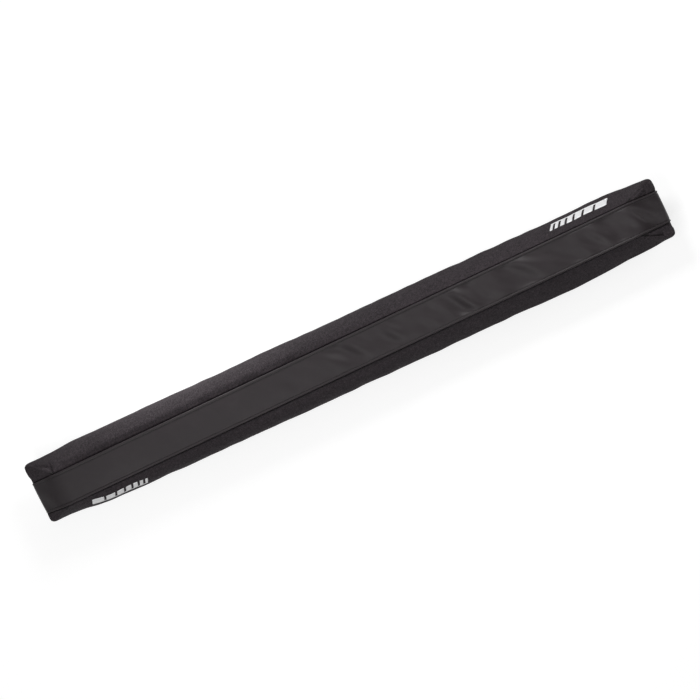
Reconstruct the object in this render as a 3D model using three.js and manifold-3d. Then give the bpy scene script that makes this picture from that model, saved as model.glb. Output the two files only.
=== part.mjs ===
// Roof bar pad: a padded sleeve that wraps round one cross bar of a roof rack.
// A bevelled foam block is covered by a coated top panel, two woven side panels and a base panel.
// Two flaps are sewn in over the base, wrap under the bar and close on each other with hook and loop.
// Millimetres. X runs along the bar, Z is up, and the part stands on its outer flap at Z = 0.
import * as THREE from "three";
import { mergeVertices } from "three/addons/utils/BufferGeometryUtils.js";
import Module from "manifold-3d";

const wasm = await Module();
wasm.setup();

// Driving dimensions of the padded body
const length = 760;
const bodyWidth = 78;
const endWidth = 69;
const bodyHeight = 23;
const wideLineHeight = 5;
const topPanelWidth = 38.5;
const baseInset = 4;
const taperLength = 85;
const planCornerRadius = 6;
const baseCornerRadius = 4;
const bevelLength = 27;
const bevelDrop = 17.5;
const middleFullness = 1.7;
const endFullness = 1.2;
const coverSkew = 3;

// Fabrics, tapes and the running clearance between layers
const gap = 0.3;
const woven = 1.2;
const coated = 1.3;
const hookThickness = 1.4;
const loopThickness = 1.6;
const seamAllowance = 6;
const endHem = 7;
const tuckPastHem = 2;

// The sleeve under the body
const barWidth = 50;
const barHeight = 22;
const barClearance = 1;
const sleeveWallClearance = 3.8;
const flapEndSetback = 35;
const flapHem = 5;
const flapReach = 20;
const flapCornerRadius = 5;
const hookWidth = 30;
const loopWidth = 34;
const tapeEndMargin = 4;

// Stitching and the reflective mark
const threadWidth = 0.7;
const threadHeight = 0.5;
const threadSink = 0.1;
const topstitchInset = 3.3;
const bartackLength = 4;
const bartackWidth = 1.8;
const bartackAngle = 0.6;
const markFromEnd = 51;
const markLength = 70;
const markDepthBelowTop = 2.4;
const markHeight = 9;
const markFilm = 0.3;
const markBars = 7;
const markBarShrink = 0.78;
const markBarGap = 2.6;
const markRule = 1;
const markSlant = 3;

// Facet counts
const shoulderSteps = 8;
const undersideSteps = 3;
const taperSteps = 4;
const middleSteps = 6;
const cornerSteps = 3;
const filletSteps = 4;

// Heights of the layers, from the ground up
const hookBottom = woven + gap;
const loopBottom = hookBottom + hookThickness + gap;
const innerFlapBottom = loopBottom + loopThickness + gap;
const channelFloor = innerFlapBottom + woven;
const basePanelBottom = channelFloor + barHeight + barClearance;
const basePanelTop = basePanelBottom + woven;
const bodyBottom = basePanelTop + gap + Math.max(woven, coated) + gap;
const bodyTop = bodyBottom + bodyHeight;
const foamBottom = bodyBottom + woven + gap;

// Half sizes of the body, which the coated panel wraps at both ends
const bodyHalfLength = length / 2 - coated - gap;
const bodyHalfWidth = bodyWidth / 2;
const endHalfWidth = endWidth / 2;
const seamLine = topPanelWidth / 2;
const sleeveHalfWidth = barWidth / 2 + sleeveWallClearance + woven;
const tuckLine = sleeveHalfWidth - flapHem - tuckPastHem;
const flapHalfLength = length / 2 - flapEndSetback;
const bevelStart = bodyHalfLength - bevelLength;
const bevelSlope = bevelDrop / bevelLength;
const bevelStretch = Math.hypot(1, bevelSlope);
const skewSlope = coverSkew / (length / 2);
const topstitchLine = seamLine - topstitchInset;

const finishes = {
  coatedFabric: { color: 0x2b292a, roughness: 0.55, metalness: 0 },
  wovenFabric: { color: 0x232122, roughness: 0.85, metalness: 0 },
  baseFabric: { color: 0x2a2a2c, roughness: 0.9, metalness: 0 },
  foam: { color: 0x3a3a3c, roughness: 0.95, metalness: 0 },
  hookTape: { color: 0x161617, roughness: 0.6, metalness: 0 },
  loopTape: { color: 0x1d1d1f, roughness: 1, metalness: 0 },
  thread: { color: 0x1a1919, roughness: 0.6, metalness: 0 },
  reflectiveFilm: { color: 0xc9c9cb, roughness: 0.35, metalness: 0.2 },
};

// A mesh of one node, with its own material
function node(name, finish, geometry) {
  const mesh = new THREE.Mesh(geometry, new THREE.MeshStandardMaterial(finishes[finish]));
  mesh.name = name;
  return mesh;
}

// A closed geometry as a solid that can be cut and joined
function solidOf(geometry) {
  const bare = new THREE.BufferGeometry();
  bare.setAttribute("position", geometry.getAttribute("position"));
  bare.setIndex(geometry.getIndex());
  const merged = mergeVertices(bare, 1e-4);
  return new wasm.Manifold(
    new wasm.Mesh({
      numProp: 3,
      vertProperties: new Float32Array(merged.getAttribute("position").array),
      triVerts: new Uint32Array(merged.getIndex().array),
    }),
  );
}

// A solid as a geometry that a mesh can show
function geometryOf(solid) {
  const { numProp, vertProperties, triVerts } = solid.getMesh();
  const positions = [];
  for (let i = 0; i < vertProperties.length; i += numProp) {
    positions.push(vertProperties[i], vertProperties[i + 1], vertProperties[i + 2]);
  }
  const geometry = new THREE.BufferGeometry();
  geometry.setAttribute("position", new THREE.Float32BufferAttribute(positions, 3));
  geometry.setIndex(Array.from(triVerts));
  const flat = geometry.toNonIndexed();
  flat.computeVertexNormals();
  return flat;
}

// A box between two corners, as a solid
function block(low, high) {
  const size = high.map((value, i) => value - low[i]);
  const box = new THREE.BoxGeometry(...size);
  box.translate(...low.map((value, i) => value + size[i] / 2));
  return solidOf(box);
}

// Height of the body's upper side at a station, with both ends cut down by the bevel
function elevation(x, depth) {
  const bevel = bodyTop - (Math.abs(x) - bevelStart) * bevelSlope - depth * bevelStretch;
  return Math.min(bodyTop - depth, bevel);
}

// Half the body's width at a station: eased in towards the ends, with corners rounded in plan
function halfWidth(x, depth) {
  const share = Math.min(1, (bodyHalfLength - Math.abs(x)) / taperLength);
  const ease = (1 - Math.cos(Math.PI * share)) / 2;
  const straight = endHalfWidth + (bodyHalfWidth - endHalfWidth) * ease - depth;
  const radius = planCornerRadius - depth;
  const past = radius - (bodyHalfLength - depth - Math.abs(x));
  return past > 0 ? straight - radius + Math.sqrt(Math.max(0, radius ** 2 - past ** 2)) : straight;
}

// Height of the widest line, kept under the bevel at the very end
function wideHeight(x, depth) {
  return Math.min(bodyBottom + wideLineHeight, elevation(x, depth) - gap);
}

// Fullness of the shoulder's curve at a station: flat at the darted ends, rounder along the middle
function fullness(x) {
  const share = (bevelStart - Math.abs(x)) / (taperLength - bevelLength);
  return endFullness + (middleFullness - endFullness) * Math.min(1, Math.max(0, share));
}

// Share of the shoulder's rise that is left at a step of a curve of some fullness
function shoulderShare(step, full) {
  return Math.cos((Math.PI / 2) * (step / shoulderSteps)) ** (2 / full);
}

// One side of the body's section at a station, from its top seam round to the underside
function halfSection(x, depth, side) {
  const points = [];
  const seam = seamLine + side * skewSlope * x;
  const wide = halfWidth(x, depth);
  const wideZ = wideHeight(x, depth);
  const top = elevation(x, depth);
  for (let i = 0; i <= shoulderSteps; i += 1) {
    const out = Math.sin((Math.PI / 2) * (i / shoulderSteps)) ** (2 / fullness(x));
    const height = wideZ + (bodyTop - depth - wideZ) * shoulderShare(i, fullness(x));
    points.push([seam + (wide - seam) * out, Math.min(height, top)]);
  }
  const low = bodyBottom + depth;
  for (let i = 1; i <= undersideSteps; i += 1) {
    const turn = (Math.PI / 2) * (i / undersideSteps);
    points.push([wide - baseInset * (1 - Math.cos(turn)), wideZ - (wideZ - low) * Math.sin(turn)]);
  }
  return points;
}

// Stations of the body: along the middle, down the taper, where the bevel meets the shoulder and round
// the corners
function stationsOf(depth) {
  const end = bodyHalfLength - depth;
  const wideZ = bodyBottom + wideLineHeight;
  const far = [];
  for (let i = 1; i < middleSteps; i += 2) {
    far.push(((bodyHalfLength - taperLength) * i) / middleSteps);
  }
  for (let i = 0; i <= taperSteps; i += 1) {
    far.push(bodyHalfLength - taperLength + ((taperLength - bevelLength) * i) / (taperSteps + 1));
  }
  for (let i = 0; i < shoulderSteps; i += 1) {
    const drop = (bodyTop - depth - wideZ) * (1 - shoulderShare(i, endFullness));
    far.push(bevelStart + (drop + depth - depth * bevelStretch) / bevelSlope);
  }
  for (let i = 0; i < cornerSteps; i += 1) {
    const turn = (Math.PI / 2) * (i / cornerSteps);
    far.push(end - (planCornerRadius - depth) * (1 - Math.sin(turn)));
  }
  const inner = far.filter((x) => x < end - gap).sort((a, b) => a - b);
  const right = [...inner.filter((x, i) => i === 0 || x - inner[i - 1] > gap), end];
  return [...right.map((x) => -x).reverse(), ...right];
}

// The padded body as one closed solid, with its skin moved in by a depth
function bodySolid(depth) {
  const stations = stationsOf(depth);
  const positions = [];
  for (const x of stations) {
    const rear = halfSection(x, depth, 1);
    const front = halfSection(x, depth, -1).map(([y, z]) => [-y, z]).reverse();
    for (const [y, z] of [...rear, ...front]) {
      positions.push(x, y, z);
    }
  }
  const ring = positions.length / 3 / stations.length;
  const index = [];
  for (let i = 0; i < stations.length - 1; i += 1) {
    for (let j = 0; j < ring; j += 1) {
      const a = i * ring + j;
      const b = i * ring + ((j + 1) % ring);
      const [c, d] = [a + ring, b + ring];
      const outward = stations[i] > 0 === j < ring / 2;
      index.push(...(outward ? [a, c, d, a, d, b] : [a, c, b, b, c, d]));
    }
  }
  const last = (stations.length - 1) * ring;
  for (let j = 1; j < ring - 1; j += 1) {
    index.push(0, j, j + 1);
    index.push(last, last + j + 1, last + j);
  }
  const geometry = new THREE.BufferGeometry();
  geometry.setAttribute("position", new THREE.Float32BufferAttribute(positions, 3));
  geometry.setIndex(index);
  return solidOf(geometry);
}

// A path moved sideways by a distance, to the left of its direction, with mitred corners
function offsetPath(path, distance) {
  return path.map((point, i) => {
    const before = path[Math.max(0, i - 1)];
    const after = path[Math.min(path.length - 1, i + 1)];
    const into = new THREE.Vector2().subVectors(point, before).normalize();
    const out = new THREE.Vector2().subVectors(after, point).normalize();
    const ways = [into, out].filter((way) => way.length() > 0);
    const normals = ways.map((way) => new THREE.Vector2(-way.y, way.x));
    const normal = normals.reduce((sum, n) => sum.add(n), new THREE.Vector2()).normalize();
    return point.clone().addScaledVector(normal, distance / normal.dot(normals[0] ?? normal));
  });
}

// A path with one of its corners rounded
function roundedCorner(path, corner, radius) {
  const at = path[corner];
  const back = new THREE.Vector2().subVectors(path[corner - 1], at).normalize();
  const on = new THREE.Vector2().subVectors(path[corner + 1], at).normalize();
  const start = at.clone().addScaledVector(back, radius);
  const end = at.clone().addScaledVector(on, radius);
  const curve = new THREE.QuadraticBezierCurve(start, at, end);
  return [...path.slice(0, corner), ...curve.getPoints(filletSteps), ...path.slice(corner + 1)];
}

// A strip of sheet that follows a path in X and Z, between two offsets from it, across Y
function lengthwiseStrip(path, near, far, lowY, highY) {
  const outline = [...offsetPath(path, near), ...offsetPath(path, far).reverse()];
  const options = { depth: highY - lowY, bevelEnabled: false };
  const strip = new THREE.ExtrudeGeometry(new THREE.Shape(outline), options);
  strip.rotateX(Math.PI / 2);
  strip.translate(0, highY, 0);
  return strip;
}

// A strip of sheet that follows a path in Y and Z, between two offsets from it, along X
function crosswiseStrip(path, near, far, lowX, highX) {
  const outline = [...offsetPath(path, near), ...offsetPath(path, far).reverse()];
  const options = { depth: highX - lowX, bevelEnabled: false };
  const strip = new THREE.ExtrudeGeometry(new THREE.Shape(outline), options);
  strip.rotateX(Math.PI / 2);
  strip.rotateZ(Math.PI / 2);
  strip.translate(lowX, 0, 0);
  return strip;
}

// The closed cell foam block, which fills the cover between its seams and down to the base panel
function foamCore() {
  const between = seamLine - seamAllowance - gap;
  const upper = block([-length, -between, foamBottom], [length, between, bodyTop + gap]);
  const inner = bodySolid(woven + gap);
  const below = block([-length, -bodyWidth, 0], [length, bodyWidth, foamBottom]);
  const footLength = bodyHalfLength - endHem - gap;
  const footWidth = tuckLine - gap;
  const foot = block(
    [-footLength, -footWidth, basePanelTop + gap],
    [footLength, footWidth, foamBottom + gap],
  );
  const whole = inner.subtract(below).add(bodySolid(0).intersect(upper)).add(foot);
  return node("foam_core", "foam", geometryOf(whole));
}

// The flat panel between the flaps, which closes the cover and sits on the bar
function basePanel() {
  const halfWide = sleeveHalfWidth - woven - gap;
  const [x, y, r] = [bodyHalfLength - baseCornerRadius, halfWide - baseCornerRadius, baseCornerRadius];
  const outline = new THREE.Shape();
  outline.absarc(x, y, r, 0, Math.PI / 2);
  outline.absarc(-x, y, r, Math.PI / 2, Math.PI);
  outline.absarc(-x, -y, r, Math.PI, (3 * Math.PI) / 2);
  outline.absarc(x, -y, r, (3 * Math.PI) / 2, 2 * Math.PI);
  const options = { depth: woven, bevelEnabled: false, curveSegments: filletSteps };
  const mesh = node("base_panel", "baseFabric", new THREE.ExtrudeGeometry(outline, options));
  mesh.position.z = basePanelBottom;
  return mesh;
}

// A woven side panel, with its seam allowance under the top panel and its lower edge over the base
function sidePanel(name, side) {
  const shell = bodySolid(0).subtract(bodySolid(woven));
  const inner = side * (seamLine - seamAllowance);
  const outer = side * bodyWidth;
  const half = block(
    [-length, Math.min(inner, outer), 0],
    [length, Math.max(inner, outer), bodyTop + gap],
  );
  const underside = block(
    [-length, -tuckLine, 0],
    [length, tuckLine, bodyBottom + woven + gap],
  );
  return node(name, "wovenFabric", geometryOf(shell.intersect(half).subtract(underside)));
}

// The outline that the top panel follows over the body, seen from the front
function topPath() {
  const half = [
    [bevelStart, bodyTop],
    [bodyHalfLength, bodyTop - bevelDrop],
    [bodyHalfLength, bodyBottom],
    [bodyHalfLength - endHem, bodyBottom],
  ];
  const left = half.map(([x, z]) => new THREE.Vector2(-x, z)).reverse();
  return [...left, ...half.map(([x, z]) => new THREE.Vector2(x, z))];
}

// A strip along one stitch line of the top panel, between two depths under its surface
function stitchLineStrip(side, deep, shallow, width) {
  const onTop = topPath().slice(2, -2);
  const surface = gap + coated;
  const middle = side * topstitchLine;
  const [low, high] = [middle - width / 2, middle + width / 2];
  return lengthwiseStrip(onTop, surface - deep, surface - shallow, low, high);
}

// The coated top panel, turned under both ends, with a groove where each row of stitches sinks in
function topPanel() {
  const strip = lengthwiseStrip(topPath(), gap, gap + coated, -seamLine, seamLine);
  const deep = threadSink + threadHeight + gap;
  const groove = (side) => stitchLineStrip(side, deep, -gap, threadWidth + 2 * gap);
  const grooved = solidOf(strip).subtract(solidOf(groove(-1))).subtract(solidOf(groove(1)));
  return node("top_panel", "coatedFabric", geometryOf(grooved));
}

// A row of topstitching, sunk in its groove beside one long edge of the top panel
function topstitch(name, side) {
  const deep = threadSink + threadHeight;
  return node(name, "thread", stitchLineStrip(side, deep, threadSink, threadWidth));
}

// A film that follows the body's skin, cut to the outline of a prism
function skinFilm(prism, thickness) {
  const film = bodySolid(-gap - thickness).subtract(bodySolid(-gap));
  return geometryOf(film.intersect(solidOf(prism)));
}

// A bar tack that locks the tip of a corner dart, beside the top seam
function bartack(name, end, side) {
  const half = bartackLength / 2 - bartackWidth / 2;
  const outline = new THREE.Shape();
  outline.absarc(half, 0, bartackWidth / 2, -Math.PI / 2, Math.PI / 2);
  outline.absarc(-half, 0, bartackWidth / 2, Math.PI / 2, (3 * Math.PI) / 2);
  const options = { depth: bodyTop, bevelEnabled: false, curveSegments: 5 };
  const prism = new THREE.ExtrudeGeometry(outline, options);
  const x = end * bevelStart;
  const seam = side * seamLine + skewSlope * x;
  prism.rotateZ(end * side * bartackAngle);
  prism.translate(x, seam + side * (bartackLength / 2 + gap), bodyBottom + wideLineHeight);
  return node(name, "thread", skinFilm(prism, threadHeight));
}

// The mark's outline in X and Z: slanted bars of falling width that stand on one rule
function markShape() {
  const shrinks = Array.from({ length: markBars }, (unused, i) => markBarShrink ** i);
  const total = shrinks.reduce((sum, share) => sum + share, 0);
  const first = (markLength - markSlant - markBarGap * (markBars - 1)) / total;
  const outline = [[0, 0]];
  const upper = [];
  let at = 0;
  for (const share of shrinks) {
    upper.push([at, markRule], [at + markSlant, markHeight]);
    upper.push([at + first * share + markSlant, markHeight], [at + first * share, markRule]);
    at += first * share + markBarGap;
  }
  outline.push([at - markBarGap, 0], ...upper.reverse());
  return new THREE.Shape(outline.map(([x, z]) => new THREE.Vector2(x, z)));
}

// The plain reflective mark on one side panel, a film that follows the fabric
function reflectiveMark(name, side) {
  const options = { depth: bodyHalfWidth, bevelEnabled: false };
  const prism = new THREE.ExtrudeGeometry(markShape(), options);
  prism.rotateX(Math.PI / 2);
  const start = -length / 2 + markFromEnd;
  prism.translate(start, 0, bodyTop - markDepthBelowTop - markHeight);
  if (side > 0) {
    prism.rotateZ(Math.PI);
  }
  prism.translate(0, side * seamLine, 0);
  return node(name, "reflectiveFilm", skinFilm(prism, markFilm));
}

// A closure flap: a hem between the body and the base, a wall beside the bar and a run under it
function flap(name, side, bottom) {
  const hemTop = bodyBottom - gap;
  const corners = [
    new THREE.Vector2(side * (sleeveHalfWidth - flapHem), hemTop),
    new THREE.Vector2(side * sleeveHalfWidth, hemTop),
    new THREE.Vector2(side * sleeveHalfWidth, bottom),
    new THREE.Vector2(-side * flapReach, bottom),
  ];
  const path = roundedCorner(corners, 2, flapCornerRadius);
  const strip = crosswiseStrip(path, 0, -side * woven, -flapHalfLength, flapHalfLength);
  return node(name, "wovenFabric", strip);
}

// A tape sewn flat to a flap, with its width centred under the bar
function tape(name, finish, width, thickness, bottom) {
  const tapeLength = 2 * (flapHalfLength - tapeEndMargin);
  const mesh = node(name, finish, new THREE.BoxGeometry(tapeLength, width, thickness));
  mesh.position.set(0, 0, bottom + thickness / 2);
  return mesh;
}

const cover = new THREE.Group();
cover.rotation.z = Math.atan(skewSlope);
cover.add(topPanel(), topstitch("topstitch_front", -1), topstitch("topstitch_rear", 1));

const pad = new THREE.Group();
pad.add(
  cover,
  foamCore(),
  basePanel(),
  sidePanel("side_panel_front", -1),
  sidePanel("side_panel_rear", 1),
  flap("flap_front", -1, 0),
  flap("flap_rear", 1, innerFlapBottom),
  tape("hook_tape", "hookTape", hookWidth, hookThickness, hookBottom),
  tape("loop_tape", "loopTape", loopWidth, loopThickness, loopBottom),
  bartack("bartack_front_left", -1, -1),
  bartack("bartack_front_right", 1, -1),
  bartack("bartack_rear_left", -1, 1),
  bartack("bartack_rear_right", 1, 1),
  reflectiveMark("reflective_mark_front", -1),
  reflectiveMark("reflective_mark_rear", 1),
);

export default pad;
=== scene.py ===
"""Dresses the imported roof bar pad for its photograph.

The pad is a bevelled foam block in a cover of one coated top panel, two woven side panels and a base
panel. Two flaps hang under it and close round a roof bar with hook and loop tape. Lengths are in
metres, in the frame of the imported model: X along the pad, Y to its rear side and Z up.
"""

import logging
import math
from collections.abc import Sequence
from dataclasses import dataclass, field
from enum import Enum

import bpy
import numpy as np
from mathutils import Matrix, Vector


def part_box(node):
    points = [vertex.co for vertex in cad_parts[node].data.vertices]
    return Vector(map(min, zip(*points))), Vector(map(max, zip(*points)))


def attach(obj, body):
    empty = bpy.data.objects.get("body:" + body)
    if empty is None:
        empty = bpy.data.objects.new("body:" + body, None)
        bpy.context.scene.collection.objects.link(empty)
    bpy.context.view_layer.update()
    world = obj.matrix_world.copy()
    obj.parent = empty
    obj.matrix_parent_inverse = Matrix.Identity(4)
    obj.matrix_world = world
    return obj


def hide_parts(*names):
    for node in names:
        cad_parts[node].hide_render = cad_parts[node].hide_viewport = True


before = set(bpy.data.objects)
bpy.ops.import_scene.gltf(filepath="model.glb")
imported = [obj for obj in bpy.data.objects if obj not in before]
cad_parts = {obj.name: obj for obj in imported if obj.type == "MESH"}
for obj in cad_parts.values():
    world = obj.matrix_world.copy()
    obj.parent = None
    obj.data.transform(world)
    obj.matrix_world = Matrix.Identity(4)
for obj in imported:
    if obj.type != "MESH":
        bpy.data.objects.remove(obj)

log = logging.getLogger("roof_bar_pad")

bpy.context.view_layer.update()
CLOTH_MAP = "cloth"
MM = 0.001
GAP = 0.3 * MM
WOVEN = 1.2 * MM
COATED = 1.3 * MM

Array = np.ndarray
Colour = tuple[float, float, float]
FLOAT = "NodeSocketFloat"
VECTOR = "NodeSocketVector"
Socket = bpy.types.NodeSocket
Sockets = bpy.types.bpy_prop_collection
Shade = Socket | Sequence[float]


class Half(Enum):
    """One half of the pad, with the sign of its axis there."""

    @property
    def label(self) -> str:
        """The half's name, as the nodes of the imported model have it."""
        return self.name.lower()


class Side(Half):
    """A long side of the pad, with the sign of its Y."""

    FRONT = -1
    REAR = 1


class End(Half):
    """An end of the pad, with the sign of its X."""

    LEFT = -1
    RIGHT = 1


def ease(value: Array | float, start: float, stop: float) -> Array:
    """Rise from 0 to 1 between two values, with level ends.

    Args:
        value: Where the rise is read.
        start: Value at which it starts; may lie above stop, for a fall.
        stop: Value at which it is complete.

    Returns:
        The share of the rise at each value.
    """
    share = np.clip((np.asarray(value, float) - start) / (stop - start), 0.0, 1.0)
    return share * share * (3.0 - 2.0 * share)


def bump(value: Array | float, middle: float, width: float) -> Array:
    """A rounded hill of height 1.

    Args:
        value: Where the hill is read.
        middle: Place of its top.
        width: Distance from the top at which about a third is left.

    Returns:
        The hill's height at each value.
    """
    return np.exp(-(((np.asarray(value, float) - middle) / width) ** 2))


def soft_min(a: Array, b: Array, softness: float) -> Array:
    """The lower of two heights, with the corner between them rounded.

    Args:
        a: First heights.
        b: Second heights.
        softness: Difference in height over which the two blend.

    Returns:
        The blended heights.
    """
    share = np.clip(0.5 + 0.5 * (b - a) / softness, 0.0, 1.0)
    return b * (1.0 - share) + a * share - softness * share * (1.0 - share)


def ripple(place: Array, length: float, seed: int, waves: int = 5) -> Array:
    """An uneven wave, made of a few sines whose lengths and starts come from a seed.

    Args:
        place: Distance along the cloth.
        length: Mean length of one wave.
        seed: Seed of the sines.
        waves: Number of sines.

    Returns:
        Heights of about -1 to 1.
    """
    chance = np.random.default_rng(seed)
    total = np.zeros_like(np.asarray(place, float))
    for _ in range(waves):
        stretch = length * chance.uniform(0.6, 1.7)
        start = chance.uniform(0.0, 2.0 * math.pi)
        total += chance.uniform(0.5, 1.0) * np.sin(2.0 * math.pi * place / stretch + start)
    return total / math.sqrt(waves)


def wrinkles(
    x: Array, y: Array, slant: float, spread: float, lengths: tuple[float, float], seed: int, waves: int = 12
) -> Array:
    """Uneven wrinkles that cross each other at small angles.

    Args:
        x: Places along the cloth.
        y: Places across the cloth.
        slant: Direction across the wrinkles, in radians from the cloth's length.
        spread: Most that a wrinkle's direction differs from it.
        lengths: Shortest and longest distance from wrinkle to wrinkle.
        seed: Seed of the wrinkles.
        waves: Number of wrinkles laid over each other.

    Returns:
        Heights of about -1 to 1, in which the longer wrinkles are the higher ones.
    """
    chance = np.random.default_rng(seed)
    total = np.zeros(np.broadcast(x, y).shape)
    for _ in range(waves):
        turn = slant + spread * chance.uniform(-1.0, 1.0)
        length = lengths[0] * (lengths[1] / lengths[0]) ** chance.uniform()
        start = chance.uniform(0.0, 2.0 * math.pi)
        place = x * math.cos(turn) + y * math.sin(turn)
        total += length / lengths[1] * np.sin(2.0 * math.pi * place / length + start)
    return total / 2.0


def unit(vectors: Array) -> Array:
    """Vectors scaled to length 1."""
    return vectors / np.maximum(np.linalg.norm(vectors, axis=-1, keepdims=True), 1e-12)


def lengths_along(points: Array, axis: int) -> Array:
    """Distance from the first point, measured along one axis of a grid of points.

    Args:
        points: The grid of points.
        axis: The grid's axis that is followed.

    Returns:
        The distance at each point.
    """
    steps = np.linalg.norm(np.diff(points, axis=axis), axis=-1)
    zero = np.zeros_like(np.take(steps, [0], axis=axis))
    return np.cumsum(np.concatenate([zero, steps], axis=axis), axis=axis)


def respaced(line: Array, places: Array) -> Array:
    """Points at given shares of a line's length.

    Args:
        line: Points of the line.
        places: Shares of the length, from 0 to 1.

    Returns:
        One point for each share.
    """
    run = lengths_along(line, 0)
    return np.stack([np.interp(places * run[-1], run, line[:, k]) for k in range(line.shape[1])], 1)


def picked(values: Array, run: Array, at: Array) -> Array:
    """Values, one row of three for each place in run, read at other places along it."""
    return np.stack([np.interp(at, run, values[:, k]) for k in range(3)], 1)


def rounded_path(corners: Array, radii: Sequence[float], count: int) -> Array:
    """A path through corners that are bent softly, each with its own radius.

    Args:
        corners: First point, corners and last point.
        radii: Distance from each corner to where its bend starts and stops.
        count: Number of points on each bend.

    Returns:
        The points of the path.
    """
    line = [corners[0]]
    share = np.linspace(0.0, 1.0, count)[:, None]
    for before, at, after, radius in zip(corners, corners[1:], corners[2:], radii):
        start, stop = at + unit(before - at) * radius, at + unit(after - at) * radius
        line.extend((1 - share) ** 2 * start + 2 * share * (1 - share) * at + share**2 * stop)
    return np.array([*line, corners[-1]])


def grid_faces(grid: Array) -> Array:
    """Four-cornered faces between the neighbours of a grid of point numbers."""
    corners = [grid[:-1, :-1], grid[1:, :-1], grid[1:, 1:], grid[:-1, 1:]]
    return np.stack(corners, -1).reshape(-1, 4)


def tube_faces(rings: int, sides: int) -> Array:
    """Four-cornered faces of one open tube, whose points are numbered ring by ring.

    Args:
        rings: Number of rings.
        sides: Number of points in each ring.

    Returns:
        The corner numbers of each face.
    """
    ring = np.arange(sides)
    after = np.roll(ring, -1)
    first = np.stack([ring, after, after + sides, ring + sides], -1)
    return np.concatenate([first + step * sides for step in range(rings - 1)])


def ring_faces(grid: Array) -> list[list[int]]:
    """Four-cornered faces between the closed rings of a body, one ring for each row of point numbers."""
    after = np.roll(grid, -1, 1)
    return np.stack([grid[:-1], after[:-1], after[1:], grid[1:]], -1).reshape(-1, 4).tolist()


def mesh_object(name: str, points: Array, faces: Sequence, uvs: Array | None = None) -> bpy.types.Object:
    """A smooth mesh object in the scene.

    Args:
        name: Name of the object.
        points: Corner points.
        faces: Corner numbers of each face.
        uvs: Place of each point on the flat cloth, if it has one.

    Returns:
        The object, linked to the scene.
    """
    mesh = bpy.data.meshes.new(name)
    corners = faces.tolist() if isinstance(faces, np.ndarray) else faces
    mesh.from_pydata(points.tolist(), [], corners)
    if uvs is not None:
        layer = mesh.uv_layers.new(name=CLOTH_MAP)
        index = np.empty(len(mesh.loops), np.int32)
        mesh.loops.foreach_get("vertex_index", index)
        layer.data.foreach_set("uv", uvs[index].astype(np.float32).ravel())
    mesh.polygons.foreach_set("use_smooth", [True] * len(mesh.polygons))
    mesh.update()
    made = bpy.data.objects.new(name, mesh)
    bpy.context.scene.collection.objects.link(made)
    return made


@dataclass
class Cloth:
    """A sheet as a grid of points on its outer face, with the place of each on the flat cut.

    The grid's columns run along the sheet and its rows across it. The outer face looks along the
    cross product of the two, or against it where flipped is set.
    """

    points: Array
    thickness: float
    flipped: bool = False
    flat: Array = field(init=False)

    def __post_init__(self) -> None:
        """Lay the sheet out flat, before anything moves it."""
        middle = self.points.shape[1] // 2
        along = lengths_along(self.points[:, middle], 0)[:, None] + np.zeros(self.points.shape[1])
        self.flat = np.stack([along, lengths_along(self.points, 1)], -1)

    def normals(self) -> Array:
        """Directions in which the outer face looks."""
        across = np.cross(np.gradient(self.points, axis=0), np.gradient(self.points, axis=1))
        return unit(-across if self.flipped else across)

    def push(self, distance: Array) -> None:
        """Move the outer face outwards by a distance at each point."""
        self.points = self.points + self.normals() * distance[..., None]

    def smooth(self, share: Array, rounds: int) -> None:
        """Round the sheet off.

        Args:
            share: How far each point follows its neighbours, from 0 to 1.
            rounds: Number of times that it does so.
        """
        for _ in range(rounds):
            padded = np.pad(self.points, ((1, 1), (1, 1), (0, 0)), mode="reflect", reflect_type="odd")
            around = padded[:-2, 1:-1] + padded[2:, 1:-1] + padded[1:-1, :-2] + padded[1:-1, 2:]
            self.points = self.points + (around / 4.0 - self.points) * share[..., None]

    def row(self, index: float) -> tuple[Array, Array]:
        """One line along the sheet.

        Args:
            index: Row number, which may fall between two rows.

        Returns:
            The line's points and normals.
        """
        low = int(min(math.floor(index), self.points.shape[1] - 2))
        part = index - low
        normals = self.normals()
        line = self.points[:, low] * (1 - part) + self.points[:, low + 1] * part
        return line, unit(normals[:, low] * (1 - part) + normals[:, low + 1] * part)

    def shell(self, name: str) -> bpy.types.Object:
        """The sheet with its thickness, closed all round.

        Args:
            name: Name of the object.

        Returns:
            The closed mesh.
        """
        columns, rows = self.points.shape[:2]
        inner = self.points - self.normals() * self.thickness
        points = np.concatenate([self.points.reshape(-1, 3), inner.reshape(-1, 3)])
        uvs = np.concatenate([self.flat.reshape(-1, 2)] * 2)
        far = columns * rows
        grid = np.arange(far).reshape(columns, rows)
        outer = grid_faces(grid)
        lower = outer[:, ::-1] + far
        rim = np.concatenate([grid[:, 0][::-1], grid[0, 1:], grid[1:, -1], grid[-1, 1:-1][::-1]])
        after = np.roll(rim, -1)
        border = np.stack([after, rim, rim + far, after + far], -1)
        faces = np.concatenate([outer, lower, border[:, ::-1]])
        return mesh_object(name, points, faces[:, ::-1] if self.flipped else faces, uvs)


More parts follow.
